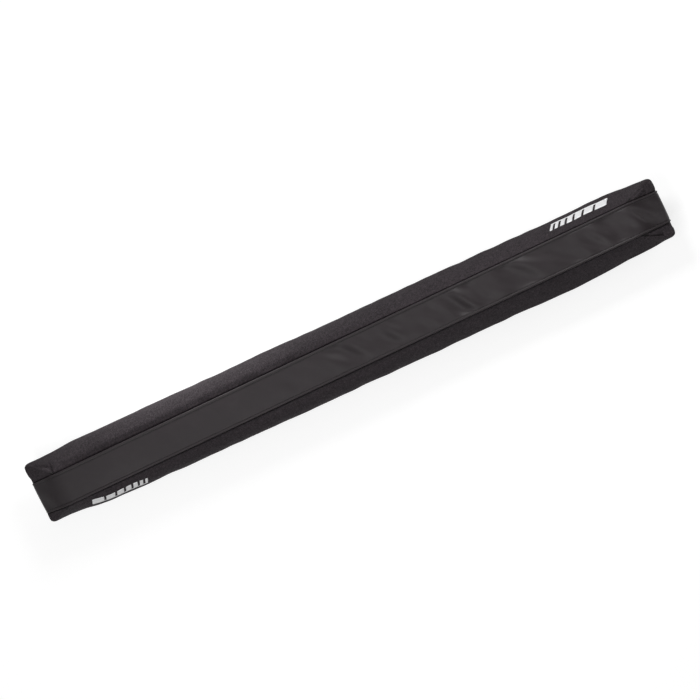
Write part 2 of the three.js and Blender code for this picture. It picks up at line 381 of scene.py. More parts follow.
@dataclass(frozen=True)
class BodyForm:
    """The skin of the padded body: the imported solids' sizes, with small trims to its outline."""

    half_length: float
    half_width: float
    bottom: float
    top: float
    end_half_width: float = 34.5 * MM
    taper: float = 85 * MM
    corner_radius: float = 4.5 * MM
    bevel_length: float = 27 * MM
    bevel_drop: float = 17.5 * MM
    wide_rise: float = 5 * MM
    base_inset: float = 4 * MM
    left_shift: float = 1.6 * MM
    right_shift: float = 2.7 * MM
    shift_start: float = 265 * MM
    trims: tuple[tuple[Side, float, float, float], ...] = (
        (Side.FRONT, 303 * MM, 36 * MM, 2.0 * MM),
        (Side.FRONT, 165 * MM, 60 * MM, 0.8 * MM),
        (Side.REAR, 290 * MM, 45 * MM, 0.5 * MM),
        (Side.REAR, 105 * MM, 55 * MM, -0.6 * MM),
        (Side.FRONT, -374 * MM, 22 * MM, -1.5 * MM),
        (Side.REAR, -374 * MM, 22 * MM, -0.7 * MM),
    )
    seam: float = 18.8 * MM
    skew: float = 4.2 / 380
    end_narrowing: float = 0.6 * MM
    right_pull: float = 1.6 * MM
    left_lean: float = 0.024
    tuck: float = 23 * MM
    middle_fullness: float = 1.7
    right_fullness: float = 1.22
    end_fullness: float = 1.2
    fullness_change: tuple[float, float] = (-80 * MM, 200 * MM)
    softness: float = 1.4 * MM
    bend_softness: float = 6.5 * MM
    samples: int = 96

    @classmethod
    def from_frame(cls) -> "BodyForm":
        """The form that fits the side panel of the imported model."""
        low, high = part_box("side_panel_front")
        return cls(half_length=high.x, half_width=-low.y, bottom=low.z, top=high.z)

    @property
    def bevel_start(self) -> float:
        """Distance from the middle at which the top turns down."""
        return self.half_length - self.bevel_length

    @property
    def bevel_slope(self) -> float:
        """Fall of the bevel for each metre along the pad."""
        return self.bevel_drop / self.bevel_length

    def elevation(self, x: Array) -> Array:
        """Height of the upper side at each station, with its bends softened."""
        bevel = self.top - (np.abs(x) - self.bevel_start) * self.bevel_slope
        return soft_min(np.full_like(x, self.top), bevel, self.bend_softness)

    def width_at(self, x: Array, side: Side) -> Array:
        """Half the body's width on one side, with both ends swung to the rear.

        Args:
            x: Stations along the pad.
            side: Side of the pad.

        Returns:
            The distance from the middle at each station.
        """
        left = self.half_length - np.abs(x)
        eased = (1.0 - np.cos(np.pi * np.minimum(1.0, left / self.taper))) / 2.0
        straight = self.end_half_width + (self.half_width - self.end_half_width) * eased
        swing = np.where(x > 0, self.right_shift, self.left_shift)
        straight = straight + side.value * swing * ease(np.abs(x), self.shift_start, self.half_length)
        for trimmed, place, reach, amount in self.trims:
            if trimmed is side:
                straight = straight - amount * bump(x, place, reach)
        past = np.clip(self.corner_radius - left, 0.0, self.corner_radius)
        return straight - self.corner_radius + np.sqrt(self.corner_radius**2 - past**2)

    def wide_height(self, x: Array) -> Array:
        """Height of the widest line at each station."""
        return np.minimum(self.bottom + self.wide_rise, self.elevation(x) - GAP)

    def fullness(self, x: Array) -> Array:
        """Fullness of the shoulder, from round at 2 to a straight slope at 1.

        Args:
            x: Stations along the pad.

        Returns:
            The fullness at each station.
        """
        share = np.clip((self.bevel_start - np.abs(x)) / (self.taper - self.bevel_length), 0.0, 1.0)
        right = ease(x, *self.fullness_change)
        middle = self.middle_fullness + (self.right_fullness - self.middle_fullness) * right
        return self.end_fullness + (middle - self.end_fullness) * share

    def cover_middle(self, x: Array) -> Array:
        """Place in Y of the top panel's middle, which is sewn on askew and pulled at the right end."""
        return self.skew * x - self.right_pull * ease(x, self.bevel_start - 4 * MM, self.half_length)

    def cover_half(self, x: Array) -> Array:
        """Half the top panel's width, which is drawn in down the bevels."""
        drawn = ease(np.abs(x), self.bevel_start - 4 * MM, self.half_length)
        return self.seam - self.end_narrowing * drawn

    def seam_at(self, x: Array, side: Side) -> Array:
        """Distance of the top seam from the pad's middle at each station."""
        return self.cover_half(x) + side.value * self.cover_middle(x)

    def leaned(self, points: Array) -> Array:
        """Set the left end a little askew, as it is sewn.

        Args:
            points: Grid of points.

        Returns:
            The points after the change.
        """
        moved = points.copy()
        share = ease(-points[..., 0], 0.6 * self.half_length, self.half_length)
        moved[..., 0] -= self.left_lean * share * points[..., 1]
        return moved

    def half_section(self, x: Array, side: Side) -> Array:
        """The body's section from the top seam round to the tuck under the body.

        Args:
            x: Stations along the pad.
            side: Side of the pad.

        Returns:
            Distance outwards and height of each sample, by station.
        """
        turn = np.linspace(0.0, np.pi / 2, self.samples)[None, :]
        power = (2.0 / self.fullness(x))[:, None]
        seam = self.seam_at(x, side)[:, None]
        wide = self.width_at(x, side)[:, None]
        low = self.wide_height(x)[:, None]
        out = seam + (wide - seam) * np.sin(turn) ** power
        height = low + (self.top - low) * np.cos(turn) ** power
        height = soft_min(height, self.elevation(x)[:, None], self.softness)
        under_out = wide - self.base_inset * (1.0 - np.cos(turn[:, 1:]))
        under_height = height[:, -1:] - (height[:, -1:] - self.bottom) * np.sin(turn[:, 1:])
        lap = np.linspace(0.0, 1.0, 12)[None, 1:]
        lap_out = under_out[:, -1:] + (self.tuck - under_out[:, -1:]) * lap
        lap_height = np.full_like(lap_out, self.bottom)
        outs = np.concatenate([out, under_out, lap_out], 1)
        heights = np.concatenate([height, under_height, lap_height], 1)
        return np.stack([outs, heights], -1)


def stations(form: BodyForm, step: float) -> Array:
    """Stations along the pad, closer together at the bevels and the rounded corners.

    Args:
        form: Form of the body.
        step: Distance between stations along the middle.

    Returns:
        Places along X, from the left end to the right.
    """
    near_end = form.half_length - form.bevel_length - 8 * MM
    corner = form.half_length - form.corner_radius
    middle = np.arange(0.0, near_end, step)
    slope = np.linspace(near_end, corner, max(3, int((corner - near_end) / (0.55 * step))))[:-1]
    turn = np.linspace(0.0, np.pi / 2, max(3, int(12 * MM / step)))
    right = np.concatenate([middle, slope, corner + form.corner_radius * np.sin(turn)])
    return np.concatenate([-right[:0:-1], right])


@dataclass
class Swell:
    """How far the padding blows one woven side out, by station and share of the section."""

    x: Array
    shares: Array
    values: Array

    def at(self, x: Array, shares: Array) -> Array:
        """The swelling at stations and shares, one row of values for each station."""
        column = np.stack([np.interp(x, self.x, self.values[:, j]) for j in range(self.values.shape[1])], 1)
        return np.stack([np.interp(share, self.shares, line) for share, line in zip(shares, column)])


@dataclass(frozen=True)
class PaddingSimulation:
    """Blows the woven sides out over the foam as cloth, with the seams held still."""

    form: BodyForm
    step: float = 6.2 * MM
    rows: int = 15
    pressure: float = 4.0
    spare_cloth: float = 0.018
    frames: int = 20
    share_kept: float = 0.5
    most: float = 0.6 * MM
    calm: int = 4

    def rings(self) -> tuple[Array, Array, Array]:
        """Lay the closed body out ring by ring.

        Returns:
            Its stations, its shares of the section, and its points.
        """
        x = stations(self.form, self.step)
        shares = np.linspace(0.0, 1.0, self.rows)
        halves = []
        for side in Side:
            section = self.form.half_section(x, side)
            half = np.stack([respaced(line, shares) for line in section])
            half[..., 0] *= side.value
            halves.append(half)
        front, rear = halves
        top = np.stack([np.zeros_like(x), self.form.elevation(x)], -1)[:, None]
        base = np.stack([np.zeros_like(x), np.full_like(x, self.form.bottom)], -1)[:, None]
        ring = np.concatenate([top, rear, base, front[:, ::-1]], 1)
        places = np.broadcast_to(x[:, None, None], (*ring.shape[:2], 1))
        return x, shares, np.concatenate([places, ring], -1)

    def run(self) -> dict[Side, Swell]:
        """Simulate the cover.

        Returns:
            The swelling of each side.
        """
        x, shares, ring = self.rings()
        columns, count = ring.shape[:2]
        middles = [ring[0].mean(0), ring[-1].mean(0)]
        points = np.concatenate([ring.reshape(-1, 3), middles])
        tip = columns * count
        grid = np.arange(tip).reshape(columns, count)
        after = np.roll(grid, -1, 1)
        left = [[tip, b, a] for a, b in zip(grid[0], after[0])]
        right = [[tip + 1, a, b] for a, b in zip(grid[-1], after[-1])]
        body = mesh_object("padding_trial", points, ring_faces(grid) + left + right)
        held = body.vertex_groups.new(name="held")
        rows = self.rows
        still = [0, 1, rows, rows + 1, rows + 2, 2 * rows + 1]
        fixed = set(grid[:, still].ravel().tolist())
        fixed |= set(grid[[0, -1]].ravel().tolist()) | {tip, tip + 1}
        held.add(list(fixed), 1.0, "REPLACE")
        moved = self.settle(body)[:tip].reshape(columns, count, 3)
        rest = Cloth(np.concatenate([ring, ring[:, :1]], 1), WOVEN)
        out = np.einsum("ijk,ijk->ij", moved - ring, rest.normals()[:, :-1])
        for _ in range(self.calm):
            padded = np.pad(out, ((1, 1), (0, 0)), mode="edge")
            out = (padded[:-2] + padded[1:-1] + padded[2:]) / 3.0
        out = np.clip(self.share_kept * out, -self.most, self.most)
        return {
            Side.REAR: Swell(x, shares, out[:, 1 : rows + 1]),
            Side.FRONT: Swell(x, shares, out[:, rows + 2 : 2 * rows + 2][:, ::-1]),
        }

    def settle(self, body: bpy.types.Object) -> Array:
        """Run the cloth on a body, and remove the body.

        Args:
            body: Closed mesh with a vertex group of its held points.

        Returns:
            Its points after the last frame.
        """
        cloth = body.modifiers.new("cloth", "CLOTH")
        cloth.settings.vertex_group_mass = "held"
        cloth.settings.use_pressure = True
        cloth.settings.uniform_pressure_force = self.pressure
        cloth.settings.shrink_min = -self.spare_cloth
        cloth.settings.bending_stiffness = 0.4
        cloth.settings.effector_weights.gravity = 0.0
        cloth.point_cache.frame_start = 1
        cloth.point_cache.frame_end = self.frames
        scene = bpy.context.scene
        for step in range(1, self.frames + 1):
            scene.frame_set(step)
        seen = body.evaluated_get(bpy.context.evaluated_depsgraph_get()).to_mesh()
        points = np.empty(len(seen.vertices) * 3, np.float32)
        seen.vertices.foreach_get("co", points)
        scene.frame_set(1)
        mesh = body.data
        bpy.data.objects.remove(body)
        bpy.data.meshes.remove(mesh)
        return points.reshape(-1, 3).astype(float)


@dataclass(frozen=True)
class Fold:
    """A straight fold in the cloth, drawn in plan from its tip to its open end."""

    tip: tuple[float, float]
    mouth: tuple[float, float]
    depth: float
    width: float = 1.0 * MM
    left_drop: float = 0.0
    right_drop: float = 0.0
    run: float = 6.0 * MM
    fade: float = 3.0 * MM

    def relief(self, points: Array) -> Array:
        """Height that the fold adds to the cloth.

        Args:
            points: Grid of points of the cloth.

        Returns:
            Distance outwards at each point. Left and right are as seen on the way to the mouth.
        """
        tip, mouth = np.array(self.tip), np.array(self.mouth)
        way = mouth - tip
        length = float(np.linalg.norm(way))
        way = way / length
        off = points[..., :2] - tip
        along = off @ way
        across = off @ np.array([-way[1], way[0]])
        there = ease(along, -0.5 * self.fade, 0.5 * self.fade)
        there = there * ease(along, length + 0.5 * self.fade, length - 0.5 * self.fade)
        groove = -self.depth * bump(across, 0.0, self.width)
        on_left = ease(across, -0.3 * self.width, 0.3 * self.width)
        left = self.left_drop * on_left * ease(across, self.run, 0.0)
        right = self.right_drop * (1.0 - on_left) * ease(across, -self.run, 0.0)
        upper = points[..., 2] > 0.5 * (points[..., 2].max() + points[..., 2].min())
        return there * (groove - left - right) * upper


@dataclass
class SidePanel:
    """A woven side panel: lapped under the top panel, round the foam and tucked under the base."""

    form: BodyForm
    side: Side
    swell: Swell
    folds: tuple[Fold, ...]
    step: float = 1.25 * MM
    allowance: float = 4.5 * MM
    allowance_rows: int = 4
    row_shares: tuple[float, ...] = (0.0, 0.042, 0.28, 1.0)
    row_counts: tuple[int, ...] = (7, 20, 23)
    cap_columns: int = 6
    end_bulge: float = 1.3 * MM
    deepest: float = 3.0 * MM
    seam_dip: float = 2.2 * MM
    dip_reach: float = 8.5 * MM
    rear_slack: tuple[float, float] = (90 * MM, -70 * MM)
    front_slack: float = 0.25
    crest: float = 0.4 * MM
    crest_from_seam: float = 9.5 * MM
    crevice: float = 1.3 * MM
    belly: float = 0.3 * MM
    pucker: float = 0.07 * MM
    pucker_length: float = 7.5 * MM
    crumple: float = 0.22 * MM
    crumple_lengths: tuple[float, float] = (16 * MM, 60 * MM)
    cloth: Cloth = field(init=False)

    def __post_init__(self) -> None:
        """Lay the panel over the body, then swell, fold and round it."""
        x = stations(self.form, self.step)
        zones = zip(self.row_shares, self.row_shares[1:], self.row_counts)
        spaced = [np.linspace(low, high, count, endpoint=False) for low, high, count in zones]
        shares = np.concatenate([*spaced, [1.0]])
        section = np.stack([respaced(line, shares) for line in self.form.half_section(x, self.side)])
        inside = np.linspace(1.0, 0.0, self.allowance_rows + 1)[None, :-1] * self.allowance
        level = np.broadcast_to(section[:, :1, 1], (len(x), self.allowance_rows))
        lapped = np.stack([section[:, :1, 0] - inside, level], -1)
        section = np.concatenate([lapped, section], 1)
        places = np.broadcast_to(x[:, None], section.shape[:2])
        outs = section[..., 0] * self.side.value
        grid = np.stack([places, outs, section[..., 1]], -1)
        self.cloth = Cloth(grid, WOVEN, flipped=self.side is Side.FRONT)
        self.cloth.push(self.relief(x, section))
        self.cap()
        self.cloth.flat[..., 0] -= self.cloth.flat[..., 0].mean()

    def relief(self, x: Array, section: Array) -> Array:
        """Everything that lifts the cloth off the plain form.

        Args:
            x: Stations along the pad.
            section: Distance outwards and height of each row, by station.

        Returns:
            Distance outwards by station and row.
        """
        out = np.zeros(section.shape[:2])
        run = lengths_along(section, 1) - self.allowance
        whole = run[:, -1:]
        free = ease(run, 0.0, 6 * MM) * ease(run, whole, whole - 12 * MM)
        share = np.clip(run / whole, 0.0, 1.0)
        out += free * self.swell.at(x, share)
        middle = ease(np.abs(x), self.form.half_length - 10 * MM, self.form.half_length - 34 * MM)
        slack = ease(x, *self.rear_slack) if self.side is Side.REAR else self.front_slack
        uneven = (middle * slack * (1.0 + 0.25 * ripple(x, 45 * MM, 71)))[:, None]
        out -= uneven * self.seam_dip * ease(run, self.dip_reach, 0.0)
        out += uneven * self.crest * bump(run, self.crest_from_seam, 3.6 * MM)
        out -= self.crevice * bump(run, 0.25 * MM, 0.6 * MM)
        out += middle[:, None] * self.belly * bump(run, 15 * MM, 8 * MM)
        near = bump(run, 1.8 * MM, 3.4 * MM)
        seed = 11 + self.side.value
        out += self.pucker * near * ripple(x, self.pucker_length, seed)[:, None]
        out += self.crumple * free * wrinkles(x[:, None], run, 0.5, 0.5, self.crumple_lengths, seed + 40)
        for fold in self.folds:
            out += fold.relief(self.cloth.points)
        return np.maximum(out, -self.deepest)

    def cap(self) -> None:
        """Close both ends with cloth, push them out a little and round their edges."""
        points = self.cloth.points
        rows = points.shape[1]
        drop = np.linspace(0.0, 1.0, rows)
        parts = [points]
        for end in End:
            edge = points[0] if end is End.LEFT else points[-1]
            seam = edge[self.allowance_rows, 1]
            inner = edge.copy()
            inner[:, 1] = seam - self.side.value * self.allowance
            inner[:, 2] = edge[0, 2] + (self.form.bottom - edge[0, 2]) * drop
            shares = np.linspace(0.0, 1.0, self.cap_columns + 1)[1:, None, None]
            patch = edge[None] * (1.0 - shares) + inner[None] * shares
            parts = [patch[::-1], *parts] if end is End.LEFT else [*parts, patch]
        grid = np.concatenate(parts)
        closed = Cloth(grid, self.cloth.thickness, self.cloth.flipped)
        at_end = ease(np.abs(grid[..., 0]), self.form.half_length - 7 * MM, self.form.half_length)
        closed.smooth(0.7 * at_end, 3)
        out = np.abs(grid[..., 1]) - self.form.seam
        swollen = ease(out, 0.5 * MM, 6 * MM) * at_end**2
        closed.points[..., 0] += np.sign(grid[..., 0]) * self.end_bulge * swollen
        closed.smooth(0.5 * at_end, 3)
        closed.points = self.form.leaned(closed.points)
        self.cloth = closed

    def at_height(self, x: Array, z: Array) -> tuple[Array, Array]:
        """Points of the outer face at stations and heights on the upper part of the panel.

        Args:
            x: Stations.
            z: Heights, one for each station.

        Returns:
            The points and the normals there.
        """
        points, normals = self.cloth.points, self.cloth.normals()
        middle = points[self.cap_columns : -self.cap_columns]
        facing = normals[self.cap_columns : -self.cap_columns]
        widest = int(np.argmax(np.abs(middle[len(middle) // 2, :, 1])))
        places = middle[:, widest, 0]
        index = np.clip(np.interp(x, places, np.arange(len(places))), 0, len(places) - 1.001)
        found, looks = [], []
        for column, height in zip(index, z):
            low, part = int(column), column - int(column)
            line = middle[low, :widest] * (1 - part) + middle[low + 1, :widest] * part
            face = facing[low, :widest] * (1 - part) + facing[low + 1, :widest] * part
            order = np.argsort(line[:, 2])
            heights = line[order, 2]
            found.append([np.interp(height, heights, line[order, k]) for k in range(3)])
            looks.append([np.interp(height, heights, face[order, k]) for k in range(3)])
        return np.array(found), unit(np.array(looks))

    def build(self) -> bpy.types.Object:
        """Make the panel as a piece that stands for its solid.

        Returns:
            The panel.
        """
        piece = self.cloth.shell(f"woven_side_{self.side.label}")
        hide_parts(f"side_panel_{self.side.label}")
        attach(piece, "root")
        return piece


@dataclass
class CoatedTop:
    """The coated top panel: its edges folded under and topstitched, its ends turned down and under."""

    form: BodyForm
    stitch_inset: float = 3.0 * MM
    bend_radius: float = 14 * MM
    end_radius: float = 3.2 * MM
    hem_radius: float = 1.5 * MM
    hem: float = 7 * MM
    crown: float = 0.45 * MM
    edge_radius: float = 0.7 * MM
    ridge: float = 0.3 * MM
    ridge_inset: float = 1.4 * MM
    groove: float = 0.34 * MM
    wave: float = 1.4 * MM
    wave_lengths: tuple[float, float] = (15 * MM, 48 * MM)
    wave_slant: float = math.radians(46)
    wave_spread: float = math.radians(20)
    wave_level: float = 0.4
    fold_gap: float = 0.18 * MM
    step: float = 1.25 * MM
    bend_step: float = 0.7 * MM
    edge_zone: float = 5.6 * MM
    rows_each_edge: int = 16
    middle_rows: int = 17
    pitch: float = 3.3 * MM
    cloth: Cloth = field(init=False)
    offsets: Array = field(init=False)

    def __post_init__(self) -> None:
        """Lay the panel over the body from hem to hem, and shape its edges and surface."""
        path, along = self.path()
        self.offsets = self.rows()
        tangent = unit(np.gradient(path, axis=0))
        outward = np.stack([-tangent[:, 1], tangent[:, 0]], -1)
        height = self.height(along)
        x = path[:, :1] + outward[:, :1] * height
        z = path[:, 1:] + outward[:, 1:] * height
        share = self.offsets / self.form.seam
        y = self.form.cover_middle(path[:, :1]) + self.form.cover_half(path[:, :1]) * share[None, :]
        self.cloth = Cloth(self.form.leaned(np.stack([x, y, z], -1)), COATED)
        self.cloth.flat[..., 0] -= self.cloth.flat[..., 0].mean()

    def path(self) -> tuple[Array, Array]:
        """The line that the panel follows in X and Z, left to right.

        Returns:
            Its points, and the distance along it from the pad's middle.
        """
        form = self.form
        corners = [
            (0.0, form.top + GAP),
            (form.bevel_start, form.top + GAP),
            (form.half_length + GAP, form.top + GAP - form.bevel_drop),
            (form.half_length + GAP, form.bottom - GAP),
            (form.half_length - self.hem, form.bottom - GAP),
        ]
        half = rounded_path(np.array(corners), (self.bend_radius, self.end_radius, self.hem_radius), 12)
        run = lengths_along(half, 0)[-1]
        near_bend = form.bevel_start - 12 * MM
        level, bent = np.arange(0.0, near_bend, self.step), np.arange(near_bend, run, self.bend_step)
        fine = np.concatenate([level, bent, [run]])
        right = respaced(half, fine / run)
        left = right[:0:-1] * np.array([-1.0, 1.0])
        return np.concatenate([left, right]), np.concatenate([-fine[:0:-1], fine])

    def rows(self) -> Array:
        """Space the grid's rows, close together along both folded edges.

        Returns:
            The rows' places across the panel.
        """
        edge = self.form.seam - self.edge_zone
        rise = self.form.seam - (self.form.seam - edge) * np.linspace(0, 1, self.rows_each_edge) ** 1.35
        middle = np.linspace(edge, -edge, self.middle_rows + 2)[1:-1]
        return np.concatenate([-rise, -middle, rise[::-1]])

    def height(self, along: Array) -> Array:
        """Height of the outer face over the panel's path.

        Args:
            along: Distance of each station along the path.

        Returns:
            Height by station and row.
        """
        inset = (self.form.seam - np.abs(self.offsets))[None, :]
        side = np.sign(self.offsets)[None, :]
        face = COATED * np.ones((len(along), len(self.offsets)))
        on_top = ease(np.abs(along), self.form.half_length + 9 * MM, self.form.half_length)[:, None]
        share = np.clip(1.0 - (self.offsets / (self.form.seam - 5 * MM)) ** 2, 0.0, 1.0)[None, :]
        face += self.crown * share * (0.25 + 0.75 * on_top)
        between = np.cos(2.0 * np.pi * along / self.pitch)[:, None]
        uneven = 1.0 + 0.2 * ripple(along, 17 * MM, 5)[:, None] * side
        lively = 0.35 + 0.65 * ease(along, -160 * MM, 110 * MM)[:, None]
        puff = self.ridge * lively * bump(inset, self.ridge_inset, 0.8 * MM)
        face += puff * (uneven + 0.13 * between)
        sink = self.groove * bump(inset, self.stitch_inset, 0.5 * MM)
        face -= sink * (1.0 - 0.2 * between)
        folded = np.sqrt(np.clip(1.0 - (1.0 - np.clip(inset / self.edge_radius, 0, 1)) ** 2, 0.0, 1.0))
        face = self.fold_gap + (face - self.fold_gap) * folded
        return face + self.waves(along, on_top)

    def waves(self, along: Array, on_top: Array) -> Array:
        """Soft slanting waves, which are faint in the left third and fade out at the seams.

        Args:
            along: Distance of each station along the path.
            on_top: Share of the waves that is left at each station, down the bevels.

        Returns:
            Height by station and row.
        """
        across = self.offsets[None, :]
        there = ease(along, -95 * MM, 40 * MM) * 0.85 + 0.15
        free = np.clip(1.0 - (across / (self.form.seam - 3.0 * MM)) ** 4, 0.0, 1.0)
        pull = wrinkles(along[:, None], across, self.wave_slant, self.wave_spread, self.wave_lengths, 17)
        return self.wave * there[:, None] * free * on_top * (pull - self.wave_level)

    def stitch_line(self, side: Side) -> tuple[Array, Array]:
        """One row of topstitching, from bevel end to bevel end.

        Args:
            side: Side of the pad.

        Returns:
            The row's points and normals.
        """
        target = side.value * (self.form.seam - self.stitch_inset)
        index = float(np.interp(target, self.offsets, np.arange(len(self.offsets))))
        line, normals = self.cloth.row(index)
        on_pad = np.abs(line[:, 0]) < self.form.half_length + 1.2 * MM
        keep = on_pad & (line[:, 2] > self.form.bottom + 5 * MM)
        return line[keep], normals[keep]

    def build(self) -> bpy.types.Object:
        """Make the panel as a piece that stands for its solid.

        Returns:
            The panel.
        """
        piece = self.cloth.shell("coated_top")
        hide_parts("top_panel")
        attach(piece, "root")
        return piece


@dataclass(frozen=True)
class Threads:
    """Short runs of twisted thread, each from one needle hole to the next."""

    radius: float = 0.33 * MM
    rise: float = 0.2 * MM
    rings: int = 7
    sides: int = 7

    def build(self, name: str, starts: Array, ends: Array, ups: Array) -> bpy.types.Object:
        """One mesh with a run of thread between each pair of points.

        Args:
            name: Name of the object.
            starts: First point of each run.
            ends: Last point of each run.
            ups: Direction away from the cloth at each run.

        Returns:
            The mesh of all the runs.
        """
        share = np.linspace(0.0, 1.0, self.rings)[:, None]
        along = unit(ends - starts)
        side = unit(np.cross(ups, along))
        up = np.cross(along, side)
        lift = self.rise * (1.0 - (2.0 * share - 1.0) ** 4) - self.radius * (2.0 * share - 1.0) ** 8
        middle = starts[:, None] * (1 - share) + ends[:, None] * share + up[:, None] * lift
        turn = np.linspace(0.0, 2.0 * np.pi, self.sides, endpoint=False)[:, None]
        size = self.radius * (1.0 - 0.35 * (2.0 * share - 1.0) ** 6)[:, None]
        around = side[:, None, None] * np.cos(turn) + up[:, None, None] * np.sin(turn)
        points = middle[:, :, None] + around * size
        count = self.rings * self.sides
        ring = np.arange(self.sides)
        one = tube_faces(self.rings, self.sides)
        offsets = np.arange(len(starts)) * count
        faces = (one[None] + offsets[:, None, None]).reshape(-1, 4).tolist()
        first, last = ring[::-1], ring + count - self.sides
        caps = [(cap + offset).tolist() for offset in offsets for cap in (first, last)]
        run = np.linalg.norm(ends - starts, axis=1)[:, None, None] * share
        uvs = np.stack(np.broadcast_arrays(run, turn[:, 0] * self.radius), -1).reshape(-1, 2)
        return mesh_object(name, points.reshape(-1, 3), faces + caps, uvs)


@dataclass(frozen=True)
class StitchRow:
    """A row of lockstitches along a line on the cloth."""

    name: str
    line: Array
    ups: Array
    pitch: float = 3.3 * MM
    hole: float = 0.55 * MM
    sink: float = 0.12 * MM
    threads: Threads = Threads()

    def build(self) -> bpy.types.Object:
        """Make the row as one mesh, riding on the pad.

        Returns:
            The row.
        """
        run = lengths_along(self.line, 0)
        count = max(1, round(run[-1] / self.pitch))
        marks = np.linspace(0.0, run[-1], count + 1)
        half = self.hole / 2
        lowered = self.line - self.ups * self.sink
        ups = unit(picked(self.ups, run, (marks[:-1] + marks[1:]) / 2))
        starts, ends = picked(lowered, run, marks[:-1] + half), picked(lowered, run, marks[1:] - half)
        piece = self.threads.build(self.name, starts, ends, ups)
        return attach(piece, "root")


@dataclass(frozen=True)
class BarTack:
    """A dense tack of thread that locks the tip of a corner dart."""

    form: BodyForm
    panel: SidePanel
    end: End
    length: float = 4.2 * MM
    width: float = 1.9 * MM
    from_seam: float = 2.3 * MM
    wraps: int = 13
    slant: float = 0.6
    threads: Threads = Threads(radius=0.22 * MM, rise=0.3 * MM)

    def build(self) -> bpy.types.Object:
        """Make the tack as one mesh that stands for its solid.

        Returns:
            The tack.
        """
        side = self.panel.side
        low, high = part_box(f"bartack_{side.label}_{self.end.label}")
        middle = (np.array(low) + np.array(high)) / 2
        middle[1] = side.value * (self.form.seam_at(middle[0], side) + self.from_seam)
        flat = self.end.value * side.value * self.slant
        along = np.array([math.cos(flat), math.sin(flat)])
        across = np.array([-along[1], along[0]])
        at = np.linspace(-0.5, 0.5, self.wraps)[:, None] * self.length
        wobble = 0.1 * self.width * ripple(np.arange(self.wraps) * MM, 2.2 * MM, 9)[:, None]
        centre = middle[:2] + at * along + wobble * across
        ends = [centre + sign * across * self.width / 2 for sign in (-1, 1)]
        placed = [self.on_panel(points) for points in ends]
        ups = unit(placed[0][1] + placed[1][1])
        name = f"dart_tack_{side.label}_{self.end.label}"
        piece = self.threads.build(name, placed[0][0], placed[1][0], ups)
        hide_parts(f"bartack_{side.label}_{self.end.label}")
        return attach(piece, "root")

    def on_panel(self, places: Array) -> tuple[Array, Array]:
        """Lay places in plan on the upper face of the side panel.

        Args:
            places: The places, in X and Y.

        Returns:
            The points and the normals there.
        """
        points, normals = self.panel.cloth.points, self.panel.cloth.normals()
        flat = points[..., :2].reshape(-1, 2)
        upper = normals[..., 2].reshape(-1) > 0.15
        found, looks = [], []
        for place in places:
            far = np.linalg.norm(flat - place, axis=1) + np.where(upper, 0.0, 1.0)
            near = np.argsort(far)[:6]
            weight = 1.0 / (far[near] + 0.1 * MM)
            weight = (weight / weight.sum())[:, None]
            height = (points.reshape(-1, 3)[near, 2:] * weight).sum(0)
            found.append([*place, *height])
            looks.append((normals.reshape(-1, 3)[near] * weight).sum(0))
        return np.array(found), unit(np.array(looks))


@dataclass(frozen=True)
class ReflectiveMark:
    """Slanted bars of falling width over one rule, printed on a side panel as a thin film."""

    panel: SidePanel
    from_end: float
    length: float = 70 * MM
    from_top: float = 4.3 * MM
    height: float = 6.4 * MM
    bars: int = 7
    shrink: float = 0.78
    bar_gap: float = 2.6 * MM
    rule: float = 1.0 * MM
    slant: float = 3 * MM
    film: float = 0.12 * MM
    cell: tuple[float, float] = (1.1 * MM, 0.9 * MM)

    def shapes(self) -> list[tuple[float, float, float, float]]:
        """Lay out the bars and the rule from the mark's left end.

        Returns:
            Start, width, bottom and top of each.
        """
        total = sum(self.shrink**i for i in range(self.bars))
        first = (self.length - self.slant - self.bar_gap * (self.bars - 1)) / total
        found, at = [], 0.0
        for i in range(self.bars):
            width = first * self.shrink**i
            found.append((at, width, self.rule, self.height))
            at += width + self.bar_gap
        found.append((0.0, at - self.bar_gap, 0.0, self.rule))
        return found

    def build(self) -> bpy.types.Object:
        """Make the mark as one film that stands for its solid.

        Returns:
            The mark.
        """
        side, form = self.panel.side, self.panel.form
        origin = side.value * (form.half_length + 1.6 * MM - self.from_end)
        points, faces, uvs = [], [], []
        for start, width, low, high in self.shapes():
            sizes = zip((width, high - low), self.cell)
            columns, rows = (max(3, int(size / cell) + 1) for size, cell in sizes)
            a, b = np.meshgrid(np.linspace(0, 1, columns), np.linspace(0, 1, rows), indexing="ij")
            up = low + (high - low) * b
            rise = np.clip((up - self.rule) / (self.height - self.rule), 0, 1)
            along = start + width * a + self.slant * rise
            x = (origin - side.value * along).ravel()
            z = (form.top - self.from_top - self.height + up).ravel()
            on, looks = self.panel.at_height(x, z)
            offset = sum(len(part) for part in points)
            grid = np.arange(columns * rows).reshape(columns, rows)
            points.append(on + looks * self.film)
            uvs.append(np.stack([along, up], -1).reshape(-1, 2))
            faces.extend((grid_faces(grid) + offset).tolist())
        name = f"reflective_bars_{side.label}"
        piece = mesh_object(name, np.concatenate(points), faces, np.concatenate(uvs))
        solid = piece.modifiers.new("film", "SOLIDIFY")
        solid.thickness = self.film * 0.9
        solid.offset = -1.0
        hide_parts(f"reflective_mark_{side.label}")
        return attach(piece, "root")


